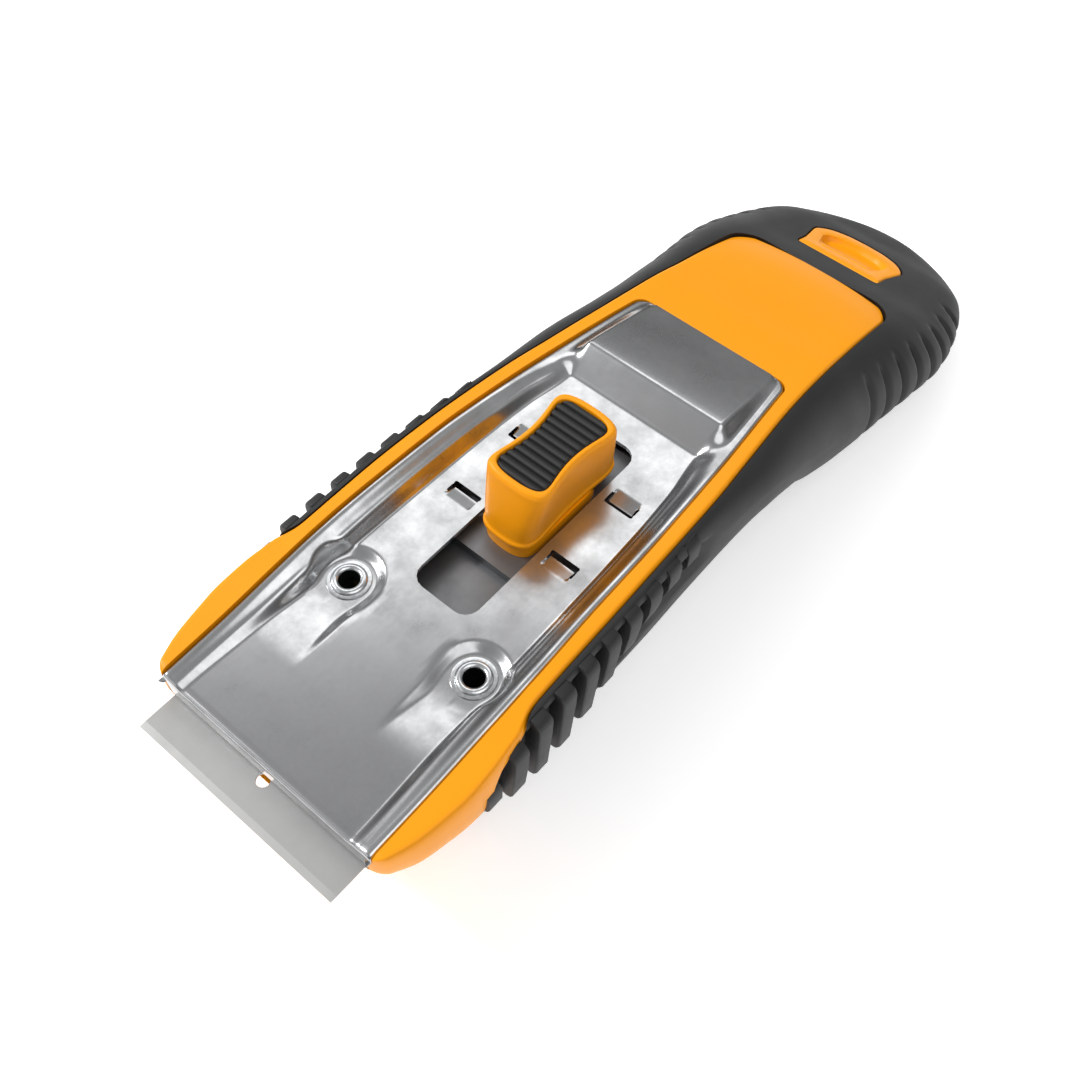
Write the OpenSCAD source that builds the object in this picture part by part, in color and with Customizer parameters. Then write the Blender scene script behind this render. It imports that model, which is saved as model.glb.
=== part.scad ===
// Razor blade scraper: a blade holder slides between two steel plates in a moulded handle,
// and a hinged lid in the tail covers a tray of spare blades.
// Lengths are in millimetres. +X runs forward to the cutting edge, +Y to the left, +Z up.
// Inside the modules X is zero at the cover plate's front lip and Z at the blade's top face,
// so sizes such as slot_front are distances behind the lip.

/* [Blade] */
// Width of the cutting edge
blade_w = 39; // [36:0.5:42]
// Length of the blade from its edge to its back
blade_l = 18.5; // [17:0.5:20]
// Thickness of the blade
blade_t = 0.3; // [0.2:0.05:0.4]
// How far the edge stands out of the lip as the tool is used
blade_out = 6.5; // [5:0.5:7.5]
// Diameter of the blade's front hole
blade_hole_d = 2.1; // [1.6:0.1:2.6]
// Distance from the cutting edge to that hole
blade_hole_back = 5.9; // [5:0.1:7]
// How far the blade slides back into the handle
retract = 7.5; // [7:0.25:8]
// How far the blade slides forward to be changed
advance = 13.5; // [11:0.25:13.5]

/* [Steel plates] */
// Thickness of the cover plate's sheet
sheet_t = 0.8; // [0.6:0.05:1]
// Distance from the slot's rear end to the cover plate's rear edge
plate_rear_l = 28; // [26:0.25:30]
// How far the cover plate reaches past the blade on each side
plate_side = 1.6; // [1.4:0.05:1.8]
// Height of the pan's floor above the blade's top face
floor_h = 4; // [3.6:0.1:4.6]
// How far the rim stands above the pan's floor
rim_rise = 2.2; // [1.8:0.1:2.6]
// Width of the pan's sloping side walls, seen from above
wall_run = 2.5; // [2:0.1:3]
// Width of the rim outside those walls
rim_run = 2.3; // [2:0.05:2.5]
// Height of the raised rear shelf above the pan's floor
shelf_rise = 3.4; // [2.6:0.1:4]
// Thickness of the base plate
base_t = 1; // [0.8:0.1:1.3]
// Gap between the front lip and the blade
lip_gap = 0.7; // [0.6:0.05:0.9]

/* [Slot and tongues] */
// Distance from the lip to the slot's front end
slot_front = 35.2; // [35:0.1:36]
// Length of the slot
slot_l = 40.6; // [40:0.1:42]
// Width of the slot
slot_w = 11.8; // [11.4:0.1:12.4]
// Radius of the slot's corners
slot_r = 2.6; // [1.5:0.1:3.5]
// Distance from the lip to the front tongues' slits
tongue_front = 53.2; // [52:0.1:54]
// Distance between the front and rear slits
tongue_pitch = 13.4; // [12.6:0.1:14]
// Width of a tongue
tongue_w = 4.6; // [4:0.1:5]
// Distance from the middle line to a tongue's middle
tongue_y = 10; // [9.8:0.05:10.2]
// Length of a tongue
tongue_l = 2.3; // [2:0.1:2.6]
// Depth of a tongue's tip under the pan's floor
tongue_drop = 1.1; // [0.9:0.1:1.4]

/* [Eyelets] */
// Distance from the lip to the eyelets
eyelet_x = 29.2; // [28.8:0.1:29.4]
// Distance from the middle line to an eyelet
eyelet_y = 12.7; // [12.5:0.05:12.9]
// Bore of an eyelet
eyelet_bore = 3.4; // [3:0.1:3.6]
// Wall of an eyelet
eyelet_wall = 0.5; // [0.4:0.05:0.6]
// Outer radius of the dish round an eyelet
dish_r = 6.2; // [5.8:0.1:6.4]
// Depth of that dish
dish_h = 0.9; // [0.6:0.05:1]

/* [Carrier] */
// Thickness of the carrier's leaf
leaf_t = 0.8; // [0.6:0.05:1]
// Width of the leaf's neck between the eyelets
neck_w = 18; // [16:0.25:18.4]
// Width of the shoe
shoe_w = 25.2; // [24.6:0.1:25.6]
// Length of the shoe
shoe_l = 30; // [28:0.5:31]
// Thickness of the shoe
shoe_t = 1.9; // [1.5:0.1:2]
// Diameter of the pins that hold the blade
pin_d = 2; // [1.6:0.1:2.2]
// Thickness of the detent spring's strip
spring_t = 0.4; // [0.3:0.05:0.5]

/* [Button] */
// Height of the button's top above the blade
button_h = 16; // [14:0.5:18]
// Distance from the lip to the button's front foot
button_front = 49; // [48.8:0.1:49.4]
// Length of the button at its foot
button_l = 23.5; // [21:0.25:23.7]
// Length of the button's top
button_top_l = 19.1; // [17:0.1:20]
// Width of the button at its ends
button_w = 11.2; // [10.6:0.1:11.4]
// Width of the button at its waist
waist_w = 9.4; // [8.4:0.1:10.4]
// Width of the yellow rim round the pad
pad_rim = 1.05; // [0.9:0.05:1.4]
// Number of ribs on the pad
ribs = 12; // [8:1:14]

/* [Handle] */
// Length of the yellow panel behind the cover plate
panel_l = 36; // [35:0.2:38]
// Length of the black tail behind that panel
tail_l = 31.2; // [30:0.2:34]
// Width of the yellow rim outside the cover plate
rim_w = 2.3; // [2.1:0.05:2.6]
// How far the grip reaches past the cover plate on each side
grip_side = 6.6; // [6.4:0.05:7.6]
// Height of the blade's top face over the surface that the tool lies on
rest_h = 25; // [24:0.5:28]
// Fall of the handle's top from the frame to the tail's end
tail_drop = 26; // [25:0.5:27]
// Height of the frame above the cover plate's rim
frame_rise = 0.5; // [0.4:0.05:0.8]
// Thickness of the yellow frame
frame_t = 2.4; // [2:0.1:2.6]
// Thickness of the soft grip
skin_t = 2; // [1.8:0.05:2.2]
// Thickness of the hard core under it
core_t = 1.8; // [1.6:0.05:2]

/* [Grip fins and grooves] */
// Number of fins on each side
fins = 10; // [8:1:11]
// Distance from the lip to the first fin
fin_front = 21.5; // [21:0.25:23]
// Distance from one fin to the next
fin_pitch = 5.3; // [5:0.1:5.6]
// Thickness of a fin
fin_t = 2.9; // [2.4:0.1:3.2]
// How far a fin stands out of the grip's wall
fin_out = 3.2; // [2.4:0.1:3.6]
// Number of grooves on each side of the tail
grooves = 5; // [3:1:5]
// Distance from the first groove to the tail's end
groove_inset = 52; // [51:0.5:53]
// Distance from one groove to the next
groove_pitch = 7.8; // [7:0.1:8.2]
// Depth of a groove
groove_h = 0.9; // [0.5:0.05:1.1]

/* [Spare blades] */
// Number of spare blades
spares = 5; // [2:1:6]
// Distance from the lid's front edge to the tail's end
lid_inset = 24.4; // [23.6:0.1:25]
// Length of the lid along the tail's slope
lid_l = 14.1; // [13.6:0.1:14.6]
// Width of the lid at its front edge
lid_w = 18.2; // [17.6:0.1:18.8]
// Width of the lid at its rear corners
lid_rear_w = 20.4; // [19.6:0.1:21]
// Thickness of the lid
lid_t = 1.5; // [1.3:0.05:1.6]
// Diameter of the lid's hinge pin
hinge_d = 1.2; // [1:0.05:1.4]

/* [Hidden] */
$fn = 48;

// Clearances: over is the overrun of a cut, slip a running gap, seam the gap round the lid
over = 1;
slip = 0.1;
fit = 0.05;
seam = 0.25;
stop_gap = 0.3;

// Heights, counted from the blade's top face
leaf_top = -blade_t;
leaf_under = leaf_top - leaf_t;
base_top = leaf_under - slip;
base_under = base_top - base_t;
floor_under = floor_h - sheet_t;
rim_top = floor_h + rim_rise;
frame_top = rim_top + frame_rise;
shoe_top = leaf_top + shoe_t;
dish_under = floor_under - dish_h;
hem = sheet_t * 0.9;
plate_seat = rim_top - hem - sheet_t / 2 - fit;

// Half widths
blade_half = blade_w / 2;
plate_half = blade_half + plate_side;
floor_half = plate_half - rim_run - wall_run;
rim_half = plate_half + rim_w;
grip_half = plate_half + grip_side;
channel_half = blade_half + 0.5 * plate_side;
lip_half = channel_half - fit;
panel_half = 0.735 * rim_half;

// Places behind the lip
plate_l = slot_front + slot_l + plate_rear_l;
panel_end = plate_l + panel_l;
body_l = panel_end + tail_l;
groove_front = body_l - groove_inset;
lid_front = body_l - lid_inset;
lid_back = lid_front + lid_l * 0.93;

// The tray of spare blades ends under the rear of the lid
tray_t = 0.8;
tray_play = 0.35;
tray_inset = 3.2;
spare_front = lid_back - tray_inset - blade_w;
tray_front = spare_front - tray_play - tray_t;
tray_back = spare_front + blade_w + tray_play + tray_t;
tray_half = blade_l / 2 + tray_play + tray_t;
tray_rise = 0.36 * blade_l;

// The part's origin is midway along it, on the surface that it lies on
lip_x = (body_l - blade_out) / 2;

// Cross-sections of the handle, one row each: place along body_l, then half width of the
// yellow rim over rim_half, half width of the grip over grip_half, fall of the top over
// tail_drop, height of the widest line over rest_h, depth of the underside over rest_h,
// half width of the flat underside over grip_half, and height of the rim's edge over frame_t
station_shares = [
    [0, 0.94, 0.81, 0.075, 0.07, 0.15, 0.6, 0.6],
    [0.012, 0.97, 0.85, 0.07, 0.07, 0.22, 0.62, 0.6],
    [0.035, 1, 0.885, 0.06, 0.07, 0.36, 0.66, 0.6],
    [0.06, 1.025, 0.915, 0.05, 0.07, 0.45, 0.68, 0.5],
    [0.1, 1.045, 0.94, 0.035, 0.06, 0.58, 0.67, 0.4],
    [0.13, 1.035, 0.94, 0.02, 0.06, 0.7, 0.6, 0.35],
    [0.16, 1.005, 0.92, 0.01, 0.04, 0.81, 0.52, 0.35],
    [0.22, 1.003, 0.905, 0, 0.04, 0.95, 0.44, 0.35],
    [0.27, 0.995, 0.9, 0, 0.04, 1, 0.41, 0.35],
    [0.33, 0.98, 0.9, 0, 0.04, 1, 0.41, 0.35],
    [0.39, 0.953, 0.905, 0.005, 0.05, 0.94, 0.42, 0.35],
    [0.46, 0.91, 0.915, 0.018, 0.06, 0.8, 0.43, 0.35],
    [0.52, 0.863, 0.91, 0.052, 0, 0.73, 0.45, 0.35],
    [0.57, 0.818, 0.905, 0.088, -0.14, 0.76, 0.47, 0.35],
    [0.61, 0.79, 0.908, 0.12, -0.24, 0.92, 0.5, 0.35],
    [0.655, 0.771, 0.925, 0.177, -0.36, 1, 0.52, 0.35],
    [0.69, 0.756, 0.938, 0.225, -0.44, 1, 0.52, 0.35],
    [0.735, 0.746, 0.965, 0.3, -0.48, 1, 0.52, 0.35],
    [0.774, 0.738, 0.988, 0.37, -0.52, 1, 0.52, 0.35],
    [0.82, 0.73, 1, 0.5, -0.6, 1, 0.52, 0.35],
    [0.8573, 0.65, 0.975, 0.608, -0.65, 1, 0.52, 0.35],
    [0.9, 0.6, 0.9, 0.721, -0.69, 1, 0.52, 0.35],
    [0.936, 0.53, 0.79, 0.817, -0.73, 1, 0.48, 0.35],
    [0.96, 0.41, 0.65, 0.89, -0.77, 0.975, 0.36, 0.35],
    [0.98, 0.27, 0.46, 0.945, -0.8, 0.935, 0.22, 0.35],
    [0.993, 0.13, 0.27, 0.985, -0.82, 0.885, 0.09, 0.35],
    [1, 0.05, 0.11, 1.02, -0.83, 0.855, 0.03, 0.35]
];
// Heights of the fins' tips over rest_h, from the front fin to the rear one
fin_tip_shares = [-0.32, -0.44, -0.5, -0.56, -0.57, -0.45, -0.3, -0.18, -0.16, -0.13, -0.1];
// Plan of the cover plate: place along plate_l, half width over plate_half, floor's half
// width over floor_half, rise of the middle over shelf_rise, fall of the rim over rim_rise
plate_shares = [
    [0.008, 1, 1, 0, 0.36],
    [0.06, 1, 0.985, 0, 0.3],
    [0.2, 1, 0.96, 0, 0.12],
    [0.33, 0.997, 0.95, 0, 0],
    [0.4, 0.99, 0.94, 0, 0],
    [0.58, 0.96, 0.905, 0, 0],
    [0.7, 0.91, 0.85, 0, 0.08],
    [0.783, 0.87, 0.775, 0, 0.2],
    [0.843, 0.84, 0.815, 1, 0.42],
    [0.9, 0.805, 0.8, 0.7, 0.7],
    [0.97, 0.76, 0.77, 0.25, 1.1],
    [1, 0.735, 0.74, 0.05, 1.25]
];

function column(rows, k) = [for (r = rows) [r[0], r[k]]];
function at(x, k) = lookup(x / body_l, column(station_shares, k));
function plate_at(x, k) = lookup(x / plate_l, column(plate_shares, k));

// Sizes of the handle at a distance x behind the lip
function rim_y(x) = rim_half * at(x, 1);
function grip_y(x) = max(grip_half * at(x, 2), rim_y(x) + slip);
function top_z(x) = frame_top - tail_drop * at(x, 3);
function wide_z(x) = rest_h * at(x, 4);
function under_z(x) = -rest_h * at(x, 5);
function under_y(x) = grip_half * at(x, 6);
function edge_h(x) = frame_t * at(x, 7);
round_h = frame_t / 4;

// Half of the handle's section from the top's middle to the underside's, drawn in by inset
shoulder_steps = [30, 60, 90];
flank_steps = [20, 38, 56, 74, 90];
flank_power = 1.15;
function half_section(x, inset, groove) = let (
        y1 = rim_y(x) - inset,
        y2 = max(grip_y(x) - inset, y1 + fit) - groove,
        y3 = max(under_y(x) - inset / 2, slip),
        mid = (top_z(x) + under_z(x)) / 2,
        z1 = max(top_z(x) - inset, mid + edge_h(x) + 2 * slip),
        z2 = z1 - edge_h(x),
        z3 = min(under_z(x) + inset, mid - 2 * slip),
        zw = min(wide_z(x), z2 - slip))
    concat([[y1 - round_h, z1], [y1, z1 - round_h], [y1, z2]],
           [for (a = shoulder_steps) [y1 + (y2 - y1) * sin(a), zw + (z2 - zw) * cos(a)]],
           [for (a = flank_steps) [y3 + (y2 - y3) * pow(cos(a), flank_power), zw + (z3 - zw) * sin(a)]]);
function whole_section(half) = concat(half, [for (i = [len(half) - 1:-1:0]) [-half[i][0], half[i][1]]]);

// A solid through sections, each a list of [y, z] points, at the places xs behind the lip.
// Each end is closed by strips between a section's point i and its point i from the end.
module loft(xs, sections) {
    n = len(sections[0]);
    m = len(xs);
    z = (m - 1) * n;
    points = [for (k = [0:m - 1]) for (p = sections[k]) [-xs[k], p[0], p[1]]];
    sides = [for (k = [0:m - 2]) for (i = [0:n - 1]) let (j = (i + 1) % n)
        each [[k * n + i, k * n + n + i, k * n + n + j], [k * n + i, k * n + n + j, k * n + j]]];
    front = [for (i = [0:n / 2 - 2]) each [[i, i + 1, n - 2 - i], [i, n - 2 - i, n - 1 - i]]];
    back = [for (f = front) [z + f[0], z + f[2], z + f[1]]];
    polyhedron(points = points, faces = concat(sides, front, back));
}

stations = [for (r = station_shares) r[0] * body_l];
function between(a, b) = concat([a], [for (x = stations) if (x > a + slip && x < b - slip) x], [b]);
module handle_solid(front, back, inset) {
    xs = between(front, back);
    loft(xs, [for (x = xs) whole_section(half_section(x, inset, 0))]);
}

// Stations of the grooved tail: each groove has two ramps and a flat bottom
groove_half = 0.8 * groove_h;
groove_ramp = 0.9 * groove_h;
groove_end = groove_front + (grooves - 1) * groove_pitch + groove_half + groove_ramp;
function groove_station(i) = let (g = groove_front + i * groove_pitch)
    [[g - groove_half - groove_ramp, 0], [g - groove_half, groove_h],
     [g + groove_half, groove_h], [g + groove_half + groove_ramp, 0]];
module grooved_solid(front) {
    first = groove_front - groove_half - groove_ramp;
    marks = concat([for (x = between(front, first)) if (x < first) [x, 0]],
                   [for (i = [0:grooves - 1]) each groove_station(i)],
                   [for (x = between(groove_end, body_l)) if (x > groove_end) [x, 0]]);
    loft([for (p = marks) p[0]],
         [for (p = marks) whole_section(half_section(p[0], 0, p[1]))]);
}

module placed() translate([lip_x, 0, rest_h]) children();
module both_sides() {
    children();
    mirror([0, 1, 0]) children();
}

// The nose and the grip meet on a plane that leans back towards the top
nose_back = 0.118 * body_l;
nose_lean = 21;
cut_size = 2 * body_l;
module nose_space(ahead) {
    translate([-nose_back, 0, 0]) rotate([0, nose_lean, 0])
        translate([ahead ? 0 : -cut_size, -cut_size / 2, -cut_size / 2])
            cube([cut_size, cut_size, cut_size]);
}

// The yellow slab: the rim round the plate and the panel behind it
panel_r = 0.14 * rim_half;
panel_bow = 0.07 * rim_half;
slab_front = 0.03 * body_l;
function corner_arc(cx, cy, r, from) = [for (a = [0:15:90]) [cx + r * cos(from + a), cy + r * sin(from + a)]];
module panel_plan(grow) {
    y = panel_half + grow;
    back = -panel_end - grow;
    polygon(concat([[-slab_front, -rim_half * 1.1], [-slab_front, rim_half * 1.1],
                    [-0.63 * body_l, rim_half * 1.1], [-0.7 * body_l, y]],
                   corner_arc(back + panel_bow + panel_r, y - panel_r, panel_r, 90),
                   [for (s = [0.75:-0.25:-0.75]) [back + panel_bow * s * s, s * (y - panel_r)]],
                   corner_arc(back + panel_bow + panel_r, -y + panel_r, panel_r, 180),
                   [[-0.7 * body_l, -y], [-0.63 * body_l, -rim_half * 1.1]]));
}
module slab(grow, raise) {
    xs = between(slab_front, panel_end + grow + over);
    intersection() {
        loft(xs, [for (x = xs) let (y = rim_y(x) + grow, z = top_z(x), e = round_h)
            raise ? [[-y, z - frame_t], [-y, z + over], [y, z + over], [y, z - frame_t]]
                  : [[-y, z - frame_t], [-y, z - e], [e - y, z], [y - e, z], [y, z - e], [y, z - frame_t]]]);
        translate([0, 0, -rest_h]) linear_extrude(2 * rest_h) panel_plan(grow);
    }
}

// The window that takes the cover plate, drawn in by ledge under its rim
module plate_window(ledge, low, grow) {
    xs = concat([-over], [for (r = plate_shares) r[0] * plate_l], [plate_l + grow]);
    loft(xs, [for (x = xs) let (y = plate_half * plate_at(x, 1) + grow - ledge,
                                z = low - rim_rise * plate_at(x, 4))
        [[-y, z], [-y, frame_top + over], [y, frame_top + over], [y, z]]]);
}

boss_r = 2.6;
boss_inset = 17.7;
boss_x = panel_end - boss_inset;
boss_y = tray_half + boss_r + stop_gap;
boss_hole = 1.1;
tie_inset = 6.5;
tie_x = plate_l + tie_inset;
tie_y = 0.36 * rim_half;
core_floor = -rest_h + skin_t + core_t;
nose_wall = 2.2;

module handle_frame() {
    color("orange") placed() {
        difference() {
            union() {
                slab(0, false);
                intersection() {
                    handle_solid(0, nose_back * 1.5, 0);
                    nose_space(true);
                }
                both_sides() {
                    translate([-boss_x, boss_y, core_floor + fit])
                        cylinder(r = boss_r, h = top_z(boss_x) - frame_t / 2 - core_floor - fit);
                    translate([-tie_x, tie_y, base_top])
                        cylinder(r = boss_r, h = top_z(tie_x) - frame_t / 2 - base_top);
                }
            }
            plate_window(0, plate_seat, fit);
            plate_window(rim_run * 0.6, base_top, fit);
            translate([-nose_back * 1.5 - over, -channel_half, base_under])
                cube([nose_back * 1.5 + 2 * over, 2 * channel_half, plate_seat - base_under]);
            intersection() {
                handle_solid(nose_wall * 2, nose_back * 1.5 + over, nose_wall);
                translate([-cut_size / 2, -cut_size / 2, -cut_size - nose_wall + base_under])
                    cube([cut_size, cut_size, cut_size]);
            }
            both_sides() {
                translate([-boss_x, boss_y, core_floor - over])
                    cylinder(r = boss_hole, h = screw_l + over);
                translate([-tie_x, tie_y, base_under])
                    cylinder(r = boss_hole, h = tie_l + base_t);
            }
        }
    }
}

// One fin is a plate across the wall, with its tip cut on a slope
fin_root = skin_t * 0.8;
module fin(i) {
    x = fin_front + i * fin_pitch;
    y = grip_y(x);
    top = top_z(x) - edge_h(x) - slip;
    tip = rest_h * fin_tip_shares[i];
    lean = -tip * 0.28;
    translate([-x + fin_t / 2, 0, 0]) rotate([90, 0, -90])
        linear_extrude(fin_t)
            polygon([[-y + fin_root, top], [-y - fin_out * 0.75, top],
                     [-y - fin_out, top - fin_t * 0.6], [-y - fin_out, top - fin_t * 1.6],
                     [-y - fin_out * 0.75 + lean, tip + fin_t * 0.4], [-y - fin_out * 0.3 + lean, tip],
                     [-y + fin_root + lean, tip], [-y + fin_root, -fin_t]]);
}

// The lid's frame: X is zero at its front edge, Z at the tail's surface
lid_tilt = atan((top_z(lid_front) - top_z(lid_back)) / (lid_back - lid_front));
module on_lid() translate([-lid_front, 0, top_z(lid_front)]) rotate([0, -lid_tilt, 0]) children();
knuckle_r = lid_t;
lid_bow = 0.09 * lid_l;
lid_ledge = 0.8;
module lid_plan(grow, front) {
    f = lid_w / 2 + grow;
    r = lid_rear_w / 2 + grow;
    c = 0.12 * lid_l;
    polygon(concat([[front, -f], [front, f], [-lid_l + lid_bow + 2 * c, r]],
                   [for (s = [0.85:-0.17:-0.85]) [-lid_l - grow + lid_bow * s * s * 2, s * r]],
                   [[-lid_l + lid_bow + 2 * c, -r]]));
}
lug_y = lid_w / 2 + seam + fit;
lug_w = 0.1 * lid_w;
lug_r = knuckle_r - 0.2 * lid_t;
module hinge_rod(r, reach) {
    on_lid() translate([-knuckle_r, -reach, -knuckle_r]) rotate([-90, 0, 0]) cylinder(r = r, h = 2 * reach);
}
module lugs(r, grow) {
    both_sides() on_lid() translate([-knuckle_r, lug_y - grow, -knuckle_r])
        rotate([-90, 0, 0]) cylinder(r = r, h = lug_w + 2 * grow);
}
core_back = 0.975 * body_l;
hollow_back = 0.94 * body_l;
tray_floor = core_floor;
lid_well = 3 * skin_t;

module post_space() both_sides() translate([-boss_x, boss_y, core_floor])
    cylinder(r = boss_r + slip, h = top_z(boss_x) - core_floor);

module rubber_grip() {
    color("#2f3032") placed() difference() {
        union() {
            grooved_solid(0.09 * body_l);
            both_sides() for (i = [0:fins - 1]) fin(i);
        }
        handle_solid(0.08 * body_l, core_back, skin_t);
        post_space();
        slab(fit, true);
        nose_space(true);
        on_lid() translate([0, 0, -lid_well]) linear_extrude(2 * lid_well) lid_plan(seam, seam);
        lugs(lug_r + fit, fit);
        both_sides() translate([-boss_x, boss_y, -rest_h - over]) cylinder(r = head_r + slip, h = skin_t + 2 * over);
    }
}

// The core is open at its top, inside a ledge that the yellow frame rests on
core_ledge = 3.4;
module core_mouth() {
    xs = between(0.06 * body_l, panel_end - core_ledge);
    loft(xs, [for (x = xs) let (y = rim_y(x) - core_ledge, z = top_z(x))
        [[-y, z - skin_t - core_t - over], [-y, z + over], [y, z + over], [y, z - skin_t - core_t - over]]]);
}

module grip_core() {
    color("#3a3b3d") placed() difference() {
        union() {
            difference() {
                handle_solid(0.08 * body_l, core_back, skin_t);
                handle_solid(0.075 * body_l, hollow_back, skin_t + core_t);
            }
            intersection() {
                lugs(lug_r, 0);
                handle_solid(0.5 * body_l, body_l, round_h / 2);
            }
        }
        slab(0, true);
        nose_space(true);
        core_mouth();
        post_space();
        on_lid() translate([0, 0, -lid_well]) linear_extrude(lid_well) lid_plan(-lid_ledge, -lid_ledge);
        hinge_rod(knuckle_r + seam, lid_w / 2 + seam);
        hinge_rod(hinge_d / 2, lug_y + lug_w);
        both_sides() translate([-boss_x, boss_y, -rest_h]) cylinder(r = boss_hole + slip, h = skin_t + core_t + over);
    }
}

// Section of the cover plate from rim to rim, and the same again one sheet lower
function plate_section(x) = let (
        w = plate_half * plate_at(x, 1),
        f = floor_half * plate_at(x, 2),
        mid = floor_h + shelf_rise * plate_at(x, 3),
        rim = rim_top - rim_rise * plate_at(x, 4),
        run = (w - f) * wall_run / (wall_run + rim_run))
    [[-w, rim - hem], [-w + hem, rim], [-f - run, rim], [-f, mid],
     [f, mid], [f + run, rim], [w - hem, rim], [w, rim - hem],
     [w, rim - hem - sheet_t / 2], [w - hem, rim - sheet_t], [f + run, rim - sheet_t], [f, mid - sheet_t],
     [-f, mid - sheet_t], [-f - run, rim - sheet_t], [hem - w, rim - sheet_t], [-w, rim - hem - sheet_t / 2]];

module slot_plan(grow) {
    r = slot_r + grow;
    w = slot_w / 2 + grow - r;
    for (y = [-w, w]) for (x = [-slot_front - slot_r, -slot_front - slot_l + slot_r])
        translate([x, y]) circle(r = r);
    translate([-slot_front - slot_l + slot_r, -slot_w / 2 - grow]) square([slot_l - 2 * slot_r, slot_w + 2 * grow]);
    translate([-slot_front - slot_l - grow, -w]) square([slot_l + 2 * grow, 2 * w]);
}
// A tongue is cut free on three sides and bent down to its slit
slit = 0.8;
module turned(way) {
    if (way > 0) children();
    else mirror([1, 0, 0]) children();
}
module tongue(x, way) {
    translate([-x, tongue_y, 0]) turned(way) translate([0, tongue_w / 2, 0]) rotate([90, 0, 0])
        linear_extrude(tongue_w)
            polygon([[tongue_l, floor_h], [0, floor_h - tongue_drop + sheet_t / 2],
                     [0, floor_h - tongue_drop - sheet_t / 2], [tongue_l, floor_h - sheet_t]]);
}
module tongue_hole(x, way) {
    translate([-x, tongue_y, 0]) turned(way)
        translate([-slit, -tongue_w / 2 - slit / 2, floor_h - 2 * sheet_t])
            cube([tongue_l + slit, tongue_w + slit, 3 * sheet_t]);
}
module tongues_at() {
    tongue(tongue_front, 1);
    tongue(tongue_front + tongue_pitch, -1);
}

module cover_plate() {
    xs = [for (r = plate_shares) r[0] * plate_l];
    color("silver") placed() {
        difference() {
            union() {
                loft(xs, [for (x = xs) plate_section(x)]);
                // The front lip stands across the end of the pan
                translate([-sheet_t - xs[0], 0, 0]) rotate([90, 0, 90]) linear_extrude(sheet_t + xs[0])
                    polygon([[-blade_half, lip_gap], [-lip_half, lip_gap + hem], [-lip_half, plate_seat + 2 * fit],
                             [-plate_half, plate_seat + 2 * fit], [-plate_half, rim_top - hem],
                             [-plate_half + hem, rim_top - fit],
                             [-floor_half - wall_run, rim_top - fit],
                             [-floor_half, floor_h], [floor_half, floor_h],
                             [floor_half + wall_run, rim_top - fit],
                             [plate_half - hem, rim_top - fit], [plate_half, rim_top - hem],
                             [plate_half, plate_seat + 2 * fit], [lip_half, plate_seat + 2 * fit],
                             [lip_half, lip_gap + hem], [blade_half, lip_gap]]);
            }
            translate([0, 0, floor_h - 2 * sheet_t]) linear_extrude(3 * sheet_t) slot_plan(0);
            both_sides() {
                tongue_hole(tongue_front, 1);
                tongue_hole(tongue_front + tongue_pitch, -1);
                translate([-eyelet_x, eyelet_y, floor_h - 2 * sheet_t])
                    cylinder(r = dish_r - sheet_t, h = 2 * sheet_t + rim_rise);
            }
        }
        both_sides() {
            tongues_at();
            dish();
        }
    }
}
eyelet_r = eyelet_bore / 2 + eyelet_wall;
dish_floor_r = dish_r - 2.2 * sheet_t;
// The dish steps the sheet down to a flat ring that the eyelet's collar seats on
module dish() {
    translate([-eyelet_x, eyelet_y, 0]) rotate_extrude()
        polygon([[eyelet_r + fit, dish_under], [dish_floor_r, dish_under],
                 [dish_r - sheet_t, floor_under], [dish_r - sheet_t, floor_h],
                 [dish_r - 1.2 * sheet_t, floor_h],
                 [dish_floor_r - 0.4 * sheet_t, dish_under + sheet_t], [eyelet_r + fit, dish_under + sheet_t]]);
}

collar_r = eyelet_r + 1.6 * eyelet_wall;
module eyelet_rivets() {
    foot = base_under - eyelet_wall;
    head = dish_under + sheet_t;
    color("gainsboro") placed() both_sides() translate([-eyelet_x, eyelet_y, 0]) rotate_extrude()
        polygon([[eyelet_bore / 2, foot], [collar_r, foot], [collar_r, base_under], [eyelet_r, base_under],
                 [eyelet_r, head], [collar_r, head], [collar_r, head + eyelet_wall / 2],
                 [eyelet_r + eyelet_wall / 2, head + 1.6 * eyelet_wall], [eyelet_r, head + 1.6 * eyelet_wall],
                 [eyelet_bore / 2, head + eyelet_wall]]);
}

// Plan places of the base plate: the wide front, the guide length and the rear tongue
base_front = 0.008 * plate_l;
base_land = 4.5;
base_wide_l = eyelet_x - base_land;
base_half = channel_half - fit;
rail_half = 0.76 * plate_half;
base_mid_l = 0.93 * plate_l;
base_back = tie_x + 2 * boss_r;
module base_plate() {
    color("#9a9ea2") placed() difference() {
        translate([0, 0, base_under]) linear_extrude(base_t)
            polygon([[-base_front, -base_half], [-base_wide_l, -base_half], [-base_wide_l - base_t, -rail_half],
                     [-base_mid_l, -rail_half * 0.9], [-base_back, -tie_y - 1.5 * boss_r],
                     [-base_back, tie_y + 1.5 * boss_r], [-base_mid_l, rail_half * 0.9],
                     [-base_wide_l - base_t, rail_half], [-base_wide_l, base_half], [-base_front, base_half]]);
        both_sides() {
            translate([-eyelet_x, eyelet_y, base_under - over]) cylinder(r = eyelet_r + fit, h = base_t + 2 * over);
            translate([-tie_x, tie_y, base_under - over]) cylinder(r = boss_hole + slip, h = base_t + 2 * over);
        }
    }
}

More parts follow.
